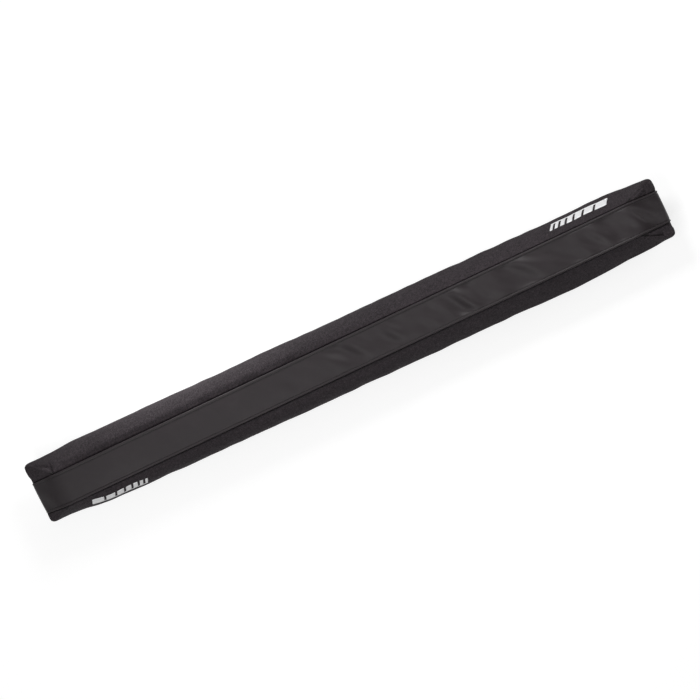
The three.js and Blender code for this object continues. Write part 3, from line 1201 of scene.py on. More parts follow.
@dataclass(frozen=True)
class FoamBlock:
    """The closed cell foam block inside the cover, cut a little smaller than the cloth."""

    form: BodyForm
    shrink: float = 3.6 * MM
    sink: float = 0.9 * MM
    step: float = 5 * MM
    rows: int = 26

    def build(self) -> bpy.types.Object:
        """Make the block as one closed piece that stands for its solid, down to the base panel.

        Returns:
            The block.
        """
        form = self.form
        x = stations(form, self.step)
        shares = np.linspace(0.0, 1.0, self.rows)
        halves = {}
        for side in Side:
            section = np.stack([respaced(line, shares) for line in form.half_section(x, side)])
            section[..., 0] -= self.shrink
            section[..., 1] -= (section[..., 1] - form.bottom) / (form.top - form.bottom) * self.shrink
            halves[side] = section
        rear, front = halves[Side.REAR], halves[Side.FRONT][:, ::-1] * np.array([-1.0, 1.0])
        ring = np.concatenate([rear, front], 1)
        count = ring.shape[1]
        shorter = x * (1 - self.shrink / form.half_length)
        places = np.broadcast_to(shorter[:, None, None], (*ring.shape[:2], 1))
        points = np.concatenate([places, ring], -1)
        height = points[..., 2]
        points[..., 2] = np.where(height < form.bottom + 0.2 * MM, form.bottom - self.sink, height)
        grid = np.arange(len(x) * count).reshape(len(x), count)
        caps = [grid[0][::-1].tolist(), grid[-1].tolist()]
        faces = [face[::-1] for face in ring_faces(grid) + caps]
        piece = mesh_object("foam_block", points.reshape(-1, 3), faces)
        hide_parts("foam_core")
        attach(piece, "root")
        return piece


@dataclass
class BasePanel:
    """The flat woven panel under the foam, sewn through the laps of the sides and the flaps."""

    step: float = 2.2 * MM
    rows: int = 34
    corner: float = 4 * MM
    quilting: float = 0.22 * MM
    seam_inset: float = 2.2 * MM
    cloth: Cloth = field(init=False)
    low: Vector = field(init=False)
    high: Vector = field(init=False)

    def __post_init__(self) -> None:
        """Lay the panel flat under the body, drawn in along its seams."""
        self.low, self.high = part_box("base_panel")
        x = np.linspace(self.low.x, self.high.x, int((self.high.x - self.low.x) / self.step))
        across = np.linspace(-1.0, 1.0, self.rows)
        past = np.clip(self.corner - (self.high.x - np.abs(x)), 0.0, self.corner)
        half = self.high.y - self.corner + np.sqrt(self.corner**2 - past**2)
        y = half[:, None] * across[None, :]
        places = np.broadcast_to(x[:, None], y.shape)
        seam = bump(self.high.y - np.abs(y), self.seam_inset, 1.6 * MM)
        drawn = self.quilting * seam * (1.0 + 0.3 * ripple(places, 9 * MM, 31))
        slack = 0.12 * MM * ripple(places + 0.6 * y, 48 * MM, 33) * (1.0 - seam)
        z = self.low.z + drawn + np.abs(slack) * 0.6
        self.cloth = Cloth(np.stack([places, y, z], -1), self.high.z - self.low.z - 0.1 * MM, flipped=True)

    def seams(self) -> list[StitchRow]:
        """Lay the two long rows that hold the laps, and the row at each end that holds the top's hem.

        Returns:
            The rows.
        """
        rows = []
        for side in Side:
            target = 0.5 + 0.5 * side.value * (1.0 - self.seam_inset / self.high.y)
            line, normals = self.cloth.row(target * (self.rows - 1))
            keep = np.abs(line[:, 0]) < self.high.x - 5 * MM
            rows.append(StitchRow(f"base_stitches_{side.label}", line[keep], normals[keep], pitch=3.6 * MM))
        for end in End:
            x = end.value * (self.high.x - 4.2 * MM)
            y = np.linspace(self.low.y + 6 * MM, self.high.y - 6 * MM, 40)
            line = np.stack([np.full_like(y, x), y, np.full_like(y, self.low.z)], -1)
            normals = np.tile([0.0, 0.0, -1.0], (40, 1))
            rows.append(StitchRow(f"end_stitches_{end.label}", line, normals, pitch=3.4 * MM))
        return rows

    def build(self) -> bpy.types.Object:
        """Make the panel as a piece that stands for its solid.

        Returns:
            The panel.
        """
        piece = self.cloth.shell("base_cloth")
        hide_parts("base_panel")
        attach(piece, "root")
        return piece


@dataclass
class Flap:
    """A closure flap: hemmed into the body, down beside the bar and under it to a free edge."""

    side: Side
    tape_half: float
    reach: float = 20 * MM
    hem: float = 5 * MM
    top_radius: float = 1.5 * MM
    bend_radius: float = 5 * MM
    edge_hem: float = 9 * MM
    edge_step: float = 0.3 * MM
    wall_wave: float = 0.45 * MM
    corner: float = 7 * MM
    step: float = 2.4 * MM
    row_step: float = 1.7 * MM
    cloth: Cloth = field(init=False)
    low: Vector = field(init=False)
    high: Vector = field(init=False)

    def __post_init__(self) -> None:
        """Bend the flap along its path, with a hemmed free edge and a loose wall."""
        self.low, self.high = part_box(f"flap_{self.side.label}")
        outer = self.high.y if self.side is Side.REAR else -self.low.y
        corners = [
            (outer - self.hem, self.high.z),
            (outer, self.high.z),
            (outer, self.low.z),
            (-self.reach, self.low.z),
        ]
        path = rounded_path(np.array(corners), (self.top_radius, self.bend_radius), 10)
        run = lengths_along(path, 0)[-1]
        count = int(run / self.row_step)
        half = self.high.x
        x = np.linspace(-half, half, int(2 * half / self.step))
        shares = np.linspace(0.0, 1.0, count)
        grid = np.zeros((len(x), count, 3))
        for i, place in enumerate(x):
            past = max(0.0, self.corner - (half - abs(place)))
            short = self.corner - math.sqrt(self.corner**2 - past**2)
            section = respaced(path, shares * (1.0 - short / run))
            grid[i, :, 0] = place
            grid[i, :, 1:] = section
        grid[..., 1] *= self.side.value
        self.cloth = Cloth(grid, WOVEN - self.edge_step, flipped=self.side is Side.FRONT)
        self.cloth.push(self.relief())

    def relief(self) -> Array:
        """Height that hems and slack give the outer face.

        Returns:
            Height by station and row.
        """
        points = self.cloth.points
        run = lengths_along(points, 1)
        left = run[:, -1:] - run
        ends = self.high.x - np.abs(points[..., 0])
        edge = self.edge_hem
        hemmed = np.maximum(ease(left, edge + 0.5 * MM, edge), ease(ends, edge + 0.5 * MM, edge))
        out = self.edge_step * (hemmed - 1.0)
        wall = ease(points[..., 2], self.low.z + 4 * MM, self.low.z + 10 * MM)
        wall = wall * ease(points[..., 2], self.high.z - 1 * MM, self.high.z - 8 * MM)
        slack = ripple(points[..., 0] + 0.35 * points[..., 2], 58 * MM, 51 + self.side.value)
        return out + self.wall_wave * wall * (slack - 0.4)

    def seams(self) -> list[StitchRow]:
        """Lay the rows along the free edge, its hem and the tape, on the outer face.

        Returns:
            The rows.
        """
        rows = []
        run = lengths_along(self.cloth.points[len(self.cloth.points) // 2], 0)
        under = run[-1] - self.reach
        marks = {
            "edge": run[-1] - 2.0 * MM,
            "hem": run[-1] - self.edge_hem + 1.2 * MM,
            "tape": under - self.tape_half + 1.5 * MM,
        }
        for label, place in marks.items():
            index = float(np.interp(place, run, np.arange(len(run))))
            line, normals = self.cloth.row(index)
            keep = np.abs(line[:, 0]) < self.high.x - 4 * MM
            name = f"flap_{label}_stitches_{self.side.label}"
            rows.append(StitchRow(name, line[keep], normals[keep], pitch=3.5 * MM, sink=0.52 * MM))
        return rows

    def build(self) -> bpy.types.Object:
        """Make the flap as a piece that stands for its solid.

        Returns:
            The flap.
        """
        piece = self.cloth.shell(f"closure_flap_{self.side.label}")
        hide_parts(f"flap_{self.side.label}")
        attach(piece, "root")
        return piece


def strip_cloth(node: str, step: float, rows: int, thickness: float, facing: int) -> Cloth:
    """A flat strip of tape backing inside the box of a tape's solid.

    Args:
        node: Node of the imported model.
        step: Distance between the grid's columns.
        rows: Number of rows across the tape.
        thickness: Thickness of the backing.
        facing: 1 for a tape that looks up, -1 for one that looks down.

    Returns:
        The backing, on the side of the box away from where it looks.
    """
    low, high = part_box(node)
    x = np.linspace(low.x, high.x, int((high.x - low.x) / step))
    y = np.linspace(low.y, high.y, rows)
    back = low.z if facing > 0 else high.z
    z = back + facing * thickness
    grid = np.stack(np.meshgrid(x, y, [z], indexing="ij"), -1)[:, :, 0]
    return Cloth(grid, thickness, flipped=facing < 0)


@dataclass(frozen=True)
class HookTape:
    """The tape with rows of small moulded hooks, on the inner face of the outer flap."""

    backing: float = 0.45 * MM
    pitch_along: float = 3.0 * MM
    pitch_across: float = 2.1 * MM
    edge: float = 2.2 * MM
    stem: float = 0.2 * MM
    room: float = 0.05 * MM
    bulge: float = 0.5 * MM
    lean: float = 0.35 * MM
    crown: float = 0.75
    drop: float = 0.3 * MM
    rings: int = 5
    sides: int = 4

    def hooks(self) -> tuple[Array, list]:
        """Shape the hooks, which lean to either side in turn.

        Returns:
            Points and faces of all of them.
        """
        low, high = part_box("hook_tape")
        x = np.arange(low.x + self.edge, high.x - self.edge, self.pitch_along)
        y = np.arange(low.y + self.edge, high.y - self.edge, self.pitch_across)
        spots = np.stack(np.meshgrid(x, y, indexing="ij"), -1).reshape(-1, 2)
        tall = high.z - low.z - self.backing - self.stem / 2 - self.room
        bend = np.linspace(0.0, 1.0, self.rings)
        reach = self.bulge * np.sin(bend * np.pi) ** 2 + self.lean * bend
        climb = np.sin(np.minimum(bend, self.crown) / self.crown * np.pi / 2)
        rise = tall * climb - self.drop * ease(bend, self.crown, 1.0)
        turn = np.linspace(0, 2 * np.pi, self.sides, endpoint=False)
        size = self.stem * (1.2 - 0.5 * bend)
        way = np.where(np.arange(len(spots)) % 2 == 0, 1.0, -1.0)[:, None, None]
        along = spots[:, 0, None, None] + (reach[:, None] * way + size[:, None] * np.cos(turn))
        across = spots[:, 1, None, None] + size[:, None] * np.sin(turn)
        up = low.z + self.backing + rise[:, None]
        points = np.stack(np.broadcast_arrays(along, across, up), -1)
        count = self.rings * self.sides
        tip = np.arange(count - self.sides, count)[None]
        one = np.concatenate([tube_faces(self.rings, self.sides), tip])
        offsets = np.arange(len(spots)) * count
        return points.reshape(-1, 3), (one[None] + offsets[:, None, None]).reshape(-1, 4).tolist()

    def build(self) -> bpy.types.Object:
        """Make the tape with its hooks as one piece that stands for its solid.

        Returns:
            The tape.
        """
        cloth = strip_cloth("hook_tape", 4 * MM, 10, self.backing, 1)
        strip = cloth.shell("hook_strip_backing")
        points, faces = self.hooks()
        hooks = mesh_object("hook_strip", points, faces, points[:, :2])
        with bpy.context.temp_override(active_object=hooks, selected_editable_objects=[hooks, strip]):
            bpy.ops.object.join()
        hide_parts("hook_tape")
        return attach(hooks, "root")


@dataclass(frozen=True)
class LoopTape:
    """The tape with a brushed pile of loops, under the inner flap."""

    backing: float = 0.5 * MM
    pile: float = 0.55 * MM
    step: float = 1.6 * MM
    rows: int = 24

    def build(self) -> bpy.types.Object:
        """Make the tape as one piece that stands for its solid.

        Returns:
            The tape.
        """
        cloth = strip_cloth("loop_tape", self.step, self.rows, self.backing + self.pile, -1)
        points = cloth.points
        _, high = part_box("loop_tape")
        edge = np.minimum(high.y - np.abs(points[..., 1]), high.x - np.abs(points[..., 0]))
        brushed = 0.5 + 0.25 * ripple(points[..., 0] * 1.3 + points[..., 1], 5 * MM, 61)
        brushed = brushed + 0.25 * ripple(points[..., 1] * 1.7 - points[..., 0] * 0.4, 4 * MM, 67)
        cloth.push(-self.pile * (1.0 - np.clip(brushed, 0.0, 1.0) * ease(edge, 1.0 * MM, 3.0 * MM)))
        piece = cloth.shell("loop_strip")
        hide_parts("loop_tape")
        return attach(piece, "root")


class ShaderTree:
    """Adds and links the nodes of a material or a node group."""

    def __init__(self, tree: bpy.types.NodeTree) -> None:
        """Work in one tree."""
        self.tree = tree

    def add(self, kind: str, **settings: object) -> bpy.types.Node:
        """Add a node.

        Args:
            kind: Blender's name of the node's type.
            **settings: Values of the node's own properties.

        Returns:
            The node.
        """
        node = self.tree.nodes.new(kind)
        for name, value in settings.items():
            setattr(node, name, value)
        return node

    def feed(self, socket: Socket, value: Socket | float | Sequence[float]) -> None:
        """Link a socket to an input, or set the input's own value.

        Args:
            socket: The input.
            value: Socket or plain value that feeds it.
        """
        if isinstance(value, bpy.types.NodeSocket):
            self.tree.links.new(value, socket)
        else:
            socket.default_value = value

    def math(self, operation: str, *values: Socket | float) -> Socket:
        """Add a Math node.

        Args:
            operation: Blender's name of the operation.
            *values: What it works on.

        Returns:
            The result.
        """
        node = self.add("ShaderNodeMath", operation=operation)
        for socket, value in zip(node.inputs, values):
            self.feed(socket, value)
        return node.outputs[0]

    def span(self, value: Socket, low: float, high: float, to_low: float, to_high: float) -> Socket:
        """Move a value from one range to another, and keep it in that.

        Args:
            value: The value.
            low: Start of the range that it has.
            high: End of that range.
            to_low: Start of the range that it gets.
            to_high: End of that range.

        Returns:
            The moved value.
        """
        node = self.add("ShaderNodeMapRange")
        for socket, given in zip(node.inputs, (value, low, high, to_low, to_high)):
            self.feed(socket, given)
        return node.outputs[0]

    def blend(self, share: Socket | float, a: Shade, b: Shade, way: str = "MIX") -> Socket:
        """Blend two colours.

        Args:
            share: How much of the second colour there is.
            a: First colour.
            b: Second colour.
            way: Blender's name of the way to blend them.

        Returns:
            The blended colour.
        """
        node = self.add("ShaderNodeMix", data_type="RGBA", blend_type=way)
        for index, value in ((0, share), (6, a), (7, b)):
            self.feed(node.inputs[index], value)
        return node.outputs[2]

    def noise(self, place: Socket, scale: Socket | float, detail: float, roughness: float = 0.5) -> Socket:
        """Add a Noise texture.

        Args:
            place: Where it is read.
            scale: Patches for each metre.
            detail: Number of finer layers.
            roughness: Share of the finer layers.

        Returns:
            Its value, from 0 to 1.
        """
        node = self.add("ShaderNodeTexNoise")
        given = {"Vector": place, "Scale": scale, "Detail": detail, "Roughness": roughness}
        for label, value in given.items():
            self.feed(node.inputs[label], value)
        return node.outputs["Fac"]


class Effect:
    """A surface effect as a node group that materials share."""

    name: str = "effect"
    inputs: tuple[tuple[str, str, object], ...] = ()
    outputs: tuple[tuple[str, str], ...] = ()

    @classmethod
    def group(cls) -> bpy.types.NodeTree:
        """The effect's node group, made on first use.

        Returns:
            The group.
        """
        made = bpy.data.node_groups.get(cls.name)
        if made is not None:
            return made
        made = bpy.data.node_groups.new(cls.name, "ShaderNodeTree")
        for label, kind, value in cls.inputs:
            socket = made.interface.new_socket(label, in_out="INPUT", socket_type=kind)
            if value is not None:
                socket.default_value = value
        for label, kind in cls.outputs:
            made.interface.new_socket(label, in_out="OUTPUT", socket_type=kind)
        tree = ShaderTree(made)
        given = tree.add("NodeGroupInput")
        result = tree.add("NodeGroupOutput")
        cls.wire(tree, given.outputs, result.inputs)
        return made

    @classmethod
    def wire(cls, tree: ShaderTree, given: Sockets, result: Sockets) -> None:
        """Join the group's inputs to its outputs.

        Args:
            tree: The group's tree.
            given: The group's inputs.
            result: The group's outputs.
        """
        raise NotImplementedError

    @classmethod
    def place(cls, tree: ShaderTree, **values: Socket | float | Sequence[float]) -> dict[str, Socket]:
        """Place the effect in a material.

        Args:
            tree: The material's tree.
            **values: Inputs, with underscores for the spaces in their names.

        Returns:
            The outputs by name.
        """
        node = tree.add("ShaderNodeGroup", node_tree=cls.group())
        for name, value in values.items():
            tree.feed(node.inputs[name.replace("_", " ").capitalize()], value)
        return {socket.name: socket for socket in node.outputs}


class Weave(Effect):
    """A plain weave: yarns over and under each other, each with its own tone."""

    name = "plain weave"
    inputs = (("Place", VECTOR, None), ("Yarn", FLOAT, 0.6 * MM), ("Slack", FLOAT, 0.2))
    outputs = (("Height", FLOAT), ("Tone", FLOAT), ("Hollow", FLOAT))

    @classmethod
    def wire(cls, tree: ShaderTree, given: Sockets, result: Sockets) -> None:
        """Join the group's inputs to its outputs.

        Args:
            tree: The group's tree.
            given: The group's inputs.
            result: The group's outputs.
        """
        drift = tree.add("ShaderNodeTexNoise")
        tree.feed(drift.inputs["Vector"], given["Place"])
        drift.inputs["Scale"].default_value = 90.0
        drift.inputs["Detail"].default_value = 2.0
        off = tree.add("ShaderNodeVectorMath", operation="SUBTRACT")
        tree.feed(off.inputs[0], drift.outputs["Color"])
        off.inputs[1].default_value = (0.5, 0.5, 0.5)
        reach = tree.math("MULTIPLY", given["Yarn"], given["Slack"])
        scaled = tree.add("ShaderNodeVectorMath", operation="SCALE")
        tree.feed(scaled.inputs[0], off.outputs[0])
        tree.feed(scaled.inputs["Scale"], tree.math("MULTIPLY", reach, 6.0))
        moved = tree.add("ShaderNodeVectorMath", operation="ADD")
        tree.feed(moved.inputs[0], given["Place"])
        tree.feed(moved.inputs[1], scaled.outputs[0])
        parts = tree.add("ShaderNodeSeparateXYZ")
        tree.feed(parts.inputs[0], moved.outputs[0])
        x = tree.math("DIVIDE", parts.outputs[0], given["Yarn"])
        y = tree.math("DIVIDE", parts.outputs[1], given["Yarn"])
        warp = cls.yarn(tree, x, y, 0.0)
        weft = cls.yarn(tree, y, x, math.pi)
        height = tree.math("MAXIMUM", warp, weft)
        over = tree.math("GREATER_THAN", warp, weft)
        tones = [cls.tone(tree, *places, seed) for places, seed in (((x, y), 3.7), ((y, x), 9.1))]
        seen = tree.add("ShaderNodeMix", data_type="FLOAT")
        tree.feed(seen.inputs[0], over)
        tree.feed(seen.inputs[2], tones[1])
        tree.feed(seen.inputs[3], tones[0])
        tree.feed(result["Height"], height)
        tree.feed(result["Tone"], seen.outputs[0])
        # Hollow marks where the yarns sink between crossings; the finishes use it for roughness and for
        # painted shade in the colour.
        tree.feed(result["Hollow"], tree.span(height, 0.12, 0.5, 1.0, 0.0))

    @classmethod
    def yarn(cls, tree: ShaderTree, across: Socket, along: Socket, phase: float) -> Socket:
        """Height of one set of yarns, which rise and fall as they pass the other set.

        Args:
            tree: The group's tree.
            across: Place across the yarns, counted in yarns.
            along: Place along the yarns, counted in crossings.
            phase: Where in its rise and fall a yarn starts.

        Returns:
            The height, up to 1.
        """
        body = tree.math("SINE", tree.math("MULTIPLY", tree.math("FRACT", across), math.pi))
        count = tree.math("FLOOR", across)
        turn = tree.math("MULTIPLY", tree.math("ADD", along, count), math.pi)
        pass_over = tree.math("SINE", tree.math("ADD", turn, phase))
        return tree.math("MULTIPLY", body, tree.math("MULTIPLY_ADD", pass_over, 0.4, 0.6))

    @classmethod
    def tone(cls, tree: ShaderTree, across: Socket, along: Socket, seed: float) -> Socket:
        """A tone for each short stretch of each yarn of one set.

        Args:
            tree: The group's tree.
            across: Place across the yarns, counted in yarns.
            along: Place along the yarns, counted in crossings.
            seed: Seed of the tones.

        Returns:
            The tone, from 0 to 1.
        """
        count = tree.math("FLOOR", across)
        start = tree.math("MULTIPLY", count, 0.618)
        stretch = tree.math("FLOOR", tree.math("MULTIPLY_ADD", along, 0.4, start))
        noise = tree.add("ShaderNodeTexWhiteNoise", noise_dimensions="1D")
        tree.feed(noise.inputs["W"], tree.math("MULTIPLY_ADD", stretch, 17.3, tree.math("ADD", count, seed)))
        return noise.outputs["Value"]


class Grain(Effect):
    """The fine pebbled grain of a coating, with a few sparkling grains."""

    name = "fine grain"
    inputs = (("Place", VECTOR, None), ("Grain", FLOAT, 0.6 * MM))
    outputs = (("Height", FLOAT), ("Speckle", FLOAT))

    @classmethod
    def wire(cls, tree: ShaderTree, given: Sockets, result: Sockets) -> None:
        """Join the group's inputs to its outputs.

        Args:
            tree: The group's tree.
            given: The group's inputs.
            result: The group's outputs.
        """
        scale = tree.math("DIVIDE", 1.0, given["Grain"])
        cells = tree.add("ShaderNodeTexVoronoi", feature="SMOOTH_F1")
        tree.feed(cells.inputs["Vector"], given["Place"])
        tree.feed(cells.inputs["Scale"], scale)
        cells.inputs["Smoothness"].default_value = 0.6
        fine = tree.noise(given["Place"], tree.math("MULTIPLY", scale, 1.8), 3.0, 0.6)
        pebble = tree.math("SUBTRACT", 1.0, cells.outputs["Distance"])
        tree.feed(result["Height"], tree.math("MULTIPLY_ADD", fine, 0.5, pebble))
        grains = tree.noise(given["Place"], tree.math("MULTIPLY", scale, 0.9), 1.0)
        tree.feed(result["Speckle"], tree.span(grains, 0.6, 0.78, 0.0, 1.0))


class Drift(Effect):
    """Slow changes of tone over the cloth, as handling, dust and rubbing leave them."""

    name = "tone drift"
    inputs = (("Place", VECTOR, None), ("Patch", FLOAT, 0.04), ("Amount", FLOAT, 0.15), ("Fleck", FLOAT, 0.0))
    outputs = (("Factor", FLOAT), ("Rubbed", FLOAT))

    @classmethod
    def wire(cls, tree: ShaderTree, given: Sockets, result: Sockets) -> None:
        """Join the group's inputs to its outputs.

        Args:
            tree: The group's tree.
            given: The group's inputs.
            result: The group's outputs.
        """
        scale = tree.math("DIVIDE", 1.0, given["Patch"])
        wide = tree.noise(given["Place"], scale, 3.0, 0.55)
        small = tree.noise(given["Place"], tree.math("MULTIPLY", scale, 7.0), 4.0, 0.6)
        both = tree.math("MULTIPLY_ADD", small, 0.4, tree.math("MULTIPLY", wide, 0.6))
        centred = tree.math("SUBTRACT", both, 0.5)
        slow = tree.math("MULTIPLY_ADD", centred, tree.math("MULTIPLY", given["Amount"], 4.0), 1.0)
        grit = tree.math("SUBTRACT", tree.noise(given["Place"], 520.0, 2.0, 0.7), 0.5)
        factor = tree.math("MULTIPLY_ADD", grit, tree.math("MULTIPLY", given["Fleck"], 4.0), slow)
        tree.feed(result["Factor"], factor)
        tree.feed(result["Rubbed"], tree.span(both, 0.52, 0.72, 0.0, 1.0))


class Twist(Effect):
    """The slanting strands of a twisted thread."""

    name = "thread twist"
    inputs = (("Place", VECTOR, None), ("Strand", FLOAT, 0.4 * MM))
    outputs = (("Height", FLOAT), ("Tone", FLOAT))

    @classmethod
    def wire(cls, tree: ShaderTree, given: Sockets, result: Sockets) -> None:
        """Join the group's inputs to its outputs.

        Args:
            tree: The group's tree.
            given: The group's inputs.
            result: The group's outputs.
        """
        parts = tree.add("ShaderNodeSeparateXYZ")
        tree.feed(parts.inputs[0], given["Place"])
        slant = tree.math("DIVIDE", tree.math("ADD", parts.outputs[0], parts.outputs[1]), given["Strand"])
        wave = tree.math("ABSOLUTE", tree.math("SINE", tree.math("MULTIPLY", slant, math.pi)))
        fuzz = tree.noise(given["Place"], 9000.0, 2.0)
        tree.feed(result["Height"], tree.math("MULTIPLY_ADD", fuzz, 0.25, wave))
        # Tone follows the strands' height; the thread finish uses it for painted shade in the grooves and
        # painted light on the crests.
        tree.feed(result["Tone"], tree.span(wave, 0.0, 0.8, 0.0, 1.0))


def new_material(name: str, specular: float) -> tuple[bpy.types.Material, ShaderTree, bpy.types.Node]:
    """Start a material with a Principled shader on its output.

    Args:
        name: Name of the material.
        specular: How much it reflects, seen straight on.

    Returns:
        The material, its tree and the shader.
    """
    material = bpy.data.materials.new(name)
    material.use_nodes = True
    material.node_tree.nodes.clear()
    tree = ShaderTree(material.node_tree)
    shader = tree.add("ShaderNodeBsdfPrincipled")
    shader.inputs["Specular IOR Level"].default_value = specular
    output = tree.add("ShaderNodeOutputMaterial")
    tree.feed(output.inputs["Surface"], shader.outputs["BSDF"])
    return material, tree, shader


def bump_normal(tree: ShaderTree, height: Socket, distance: float, strength: float) -> Socket:
    """The normal that a height gives.

    Args:
        tree: The material's tree.
        height: The height.
        distance: Depth of the relief, in metres.
        strength: Share of the relief that shows.

    Returns:
        The normal.
    """
    node = tree.add("ShaderNodeBump")
    node.inputs["Strength"].default_value = strength
    node.inputs["Distance"].default_value = distance
    tree.feed(node.inputs["Height"], height)
    return node.outputs["Normal"]


def cloth_place(tree: ShaderTree) -> Socket:
    """Place on the flat cut of the cloth, in metres."""
    return tree.add("ShaderNodeUVMap", uv_map=CLOTH_MAP).outputs["UV"]


def object_place(tree: ShaderTree) -> Socket:
    """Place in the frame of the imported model, in metres."""
    return tree.add("ShaderNodeTexCoord").outputs["Object"]


@dataclass(frozen=True)
class WovenFinish:
    """Coarse woven polyester, matt, with a little sheen on the yarns and painted shade in the hollows between
    them.
    """

    name: str
    colour: Colour
    light: Colour
    yarn: float = 0.75 * MM
    slack: float = 0.35
    depth: float = 0.3 * MM
    relief: float = 0.85
    roughness: float = 0.72
    specular: float = 0.22
    sheen: float = 0.02
    drift: float = 0.18
    fleck: float = 0.3

    def build(self) -> bpy.types.Material:
        """Make the material.

        Returns:
            The material.
        """
        material, tree, shader = new_material(self.name, self.specular)
        weave = Weave.place(tree, place=cloth_place(tree), yarn=self.yarn, slack=self.slack)
        drift = Drift.place(tree, place=object_place(tree), patch=0.045, amount=self.drift, fleck=self.fleck)
        yarns = tree.blend(weave["Tone"], (*self.colour, 1), (*self.light, 1))
        # Painted shade: the hollows between the yarns are darkened towards near black in the base colour.
        hollow_shaded = tree.blend(tree.math("MULTIPLY", weave["Hollow"], 0.7), yarns, (0.004, 0.004, 0.004, 1))
        tone = tree.blend(1.0, hollow_shaded, drift["Factor"], "MULTIPLY")
        tree.feed(shader.inputs["Base Color"], tone)
        rough = tree.math("MULTIPLY_ADD", weave["Hollow"], 0.3, self.roughness)
        tree.feed(shader.inputs["Roughness"], rough)
        tree.feed(shader.inputs["Normal"], bump_normal(tree, weave["Height"], self.depth, self.relief))
        shader.inputs["Sheen Weight"].default_value = self.sheen
        shader.inputs["Sheen Roughness"].default_value = 0.45
        return material


@dataclass(frozen=True)
class CoatedFinish:
    """Smooth coated fabric with a low sheen, whose backing weave just shows through."""

    name: str
    colour: Colour
    grain: float = 0.45 * MM
    yarn: float = 0.4 * MM
    roughness: float = 0.5
    specular: float = 0.36
    drift: float = 0.1

    def build(self) -> bpy.types.Material:
        """Make the material.

        Returns:
            The material.
        """
        material, tree, shader = new_material(self.name, self.specular)
        place = object_place(tree)
        grain = Grain.place(tree, place=place, grain=self.grain)
        drift = Drift.place(tree, place=place, patch=0.05, amount=self.drift)
        weave = Weave.place(tree, place=cloth_place(tree), yarn=self.yarn, slack=0.2)
        toned = tree.blend(1.0, (*self.colour, 1), drift["Factor"], "MULTIPLY")
        pale = tuple(min(1.0, 1.7 * part) for part in self.colour)
        speckled = tree.blend(tree.math("MULTIPLY", grain["Speckle"], 0.3), toned, (*pale, 1))
        tree.feed(shader.inputs["Base Color"], speckled)
        rubbed = tree.math("MULTIPLY_ADD", drift["Rubbed"], -0.07, self.roughness)
        tree.feed(shader.inputs["Roughness"], tree.math("MULTIPLY_ADD", grain["Speckle"], 0.1, rubbed))
        relief = tree.math("MULTIPLY_ADD", weave["Height"], 0.3, grain["Height"])
        tree.feed(shader.inputs["Normal"], bump_normal(tree, relief, 0.035 * MM, 0.6))
        return material


@dataclass(frozen=True)
class ThreadFinish:
    """Twisted polyester sewing thread, with painted shade in the grooves between its strands and painted
    light on their crests.
    """

    name: str
    colour: Colour
    light: Colour

    def build(self) -> bpy.types.Material:
        """Make the material.

        Returns:
            The material.
        """
        material, tree, shader = new_material(self.name, specular=0.4)
        twist = Twist.place(tree, place=cloth_place(tree), strand=0.42 * MM)
        # Painted shade and light: the colour is darker in the grooves between strands and lighter on their
        # crests.
        tree.feed(shader.inputs["Base Color"], tree.blend(twist["Tone"], (*self.colour, 1), (*self.light, 1)))
        tree.feed(shader.inputs["Roughness"], tree.span(twist["Tone"], 0.0, 1.0, 0.75, 0.5))
        tree.feed(shader.inputs["Normal"], bump_normal(tree, twist["Height"], 0.12 * MM, 0.8))
        return material


@dataclass(frozen=True)
class FoamFinish:
    """Closed cell foam with small cells and a dry skin."""

    name: str
    colour: Colour
    cell: float = 0.9 * MM

    def build(self) -> bpy.types.Material:
        """Make the material.

        Returns:
            The material.
        """
        material, tree, shader = new_material(self.name, specular=0.25)
        place = object_place(tree)
        grain = Grain.place(tree, place=place, grain=self.cell)
        drift = Drift.place(tree, place=place, patch=0.03, amount=0.14)
        toned = tree.blend(1.0, (*self.colour, 1), drift["Factor"], "MULTIPLY")
        dark = tuple(0.55 * part for part in self.colour)
        tree.feed(shader.inputs["Base Color"], tree.blend(grain["Speckle"], toned, (*dark, 1)))
        tree.feed(shader.inputs["Roughness"], tree.span(drift["Rubbed"], 0.0, 1.0, 0.95, 0.8))
        tree.feed(shader.inputs["Normal"], bump_normal(tree, grain["Height"], 0.2 * MM, 0.7))
        return material


@dataclass(frozen=True)
class TapeFinish:
    """Hook or loop tape: a weave under nylon hooks or a brushed pile."""

    name: str
    colour: Colour
    fuzz: float
    roughness: float
    yarn: float = 0.5 * MM
    grain: float = 0.4 * MM

    def build(self) -> bpy.types.Material:
        """Make the material.

        Returns:
            The material.
        """
        material, tree, shader = new_material(self.name, specular=0.5)
        weave = Weave.place(tree, place=cloth_place(tree), yarn=self.yarn, slack=0.5)
        pile = Grain.place(tree, place=object_place(tree), grain=self.grain)
        pale = tuple(2.4 * part for part in self.colour)
        tone = tree.math("MULTIPLY", pile["Speckle"], self.fuzz)
        tree.feed(shader.inputs["Base Color"], tree.blend(tone, (*self.colour, 1), (*pale, 1)))
        relief = tree.math("MULTIPLY_ADD", pile["Height"], self.fuzz, weave["Height"])
        tree.feed(shader.inputs["Normal"], bump_normal(tree, relief, 0.15 * MM, 0.8))
        tree.feed(shader.inputs["Roughness"], tree.math("MULTIPLY_ADD", weave["Hollow"], 0.1, self.roughness))
        shader.inputs["Sheen Weight"].default_value = 0.2 * self.fuzz
        return material


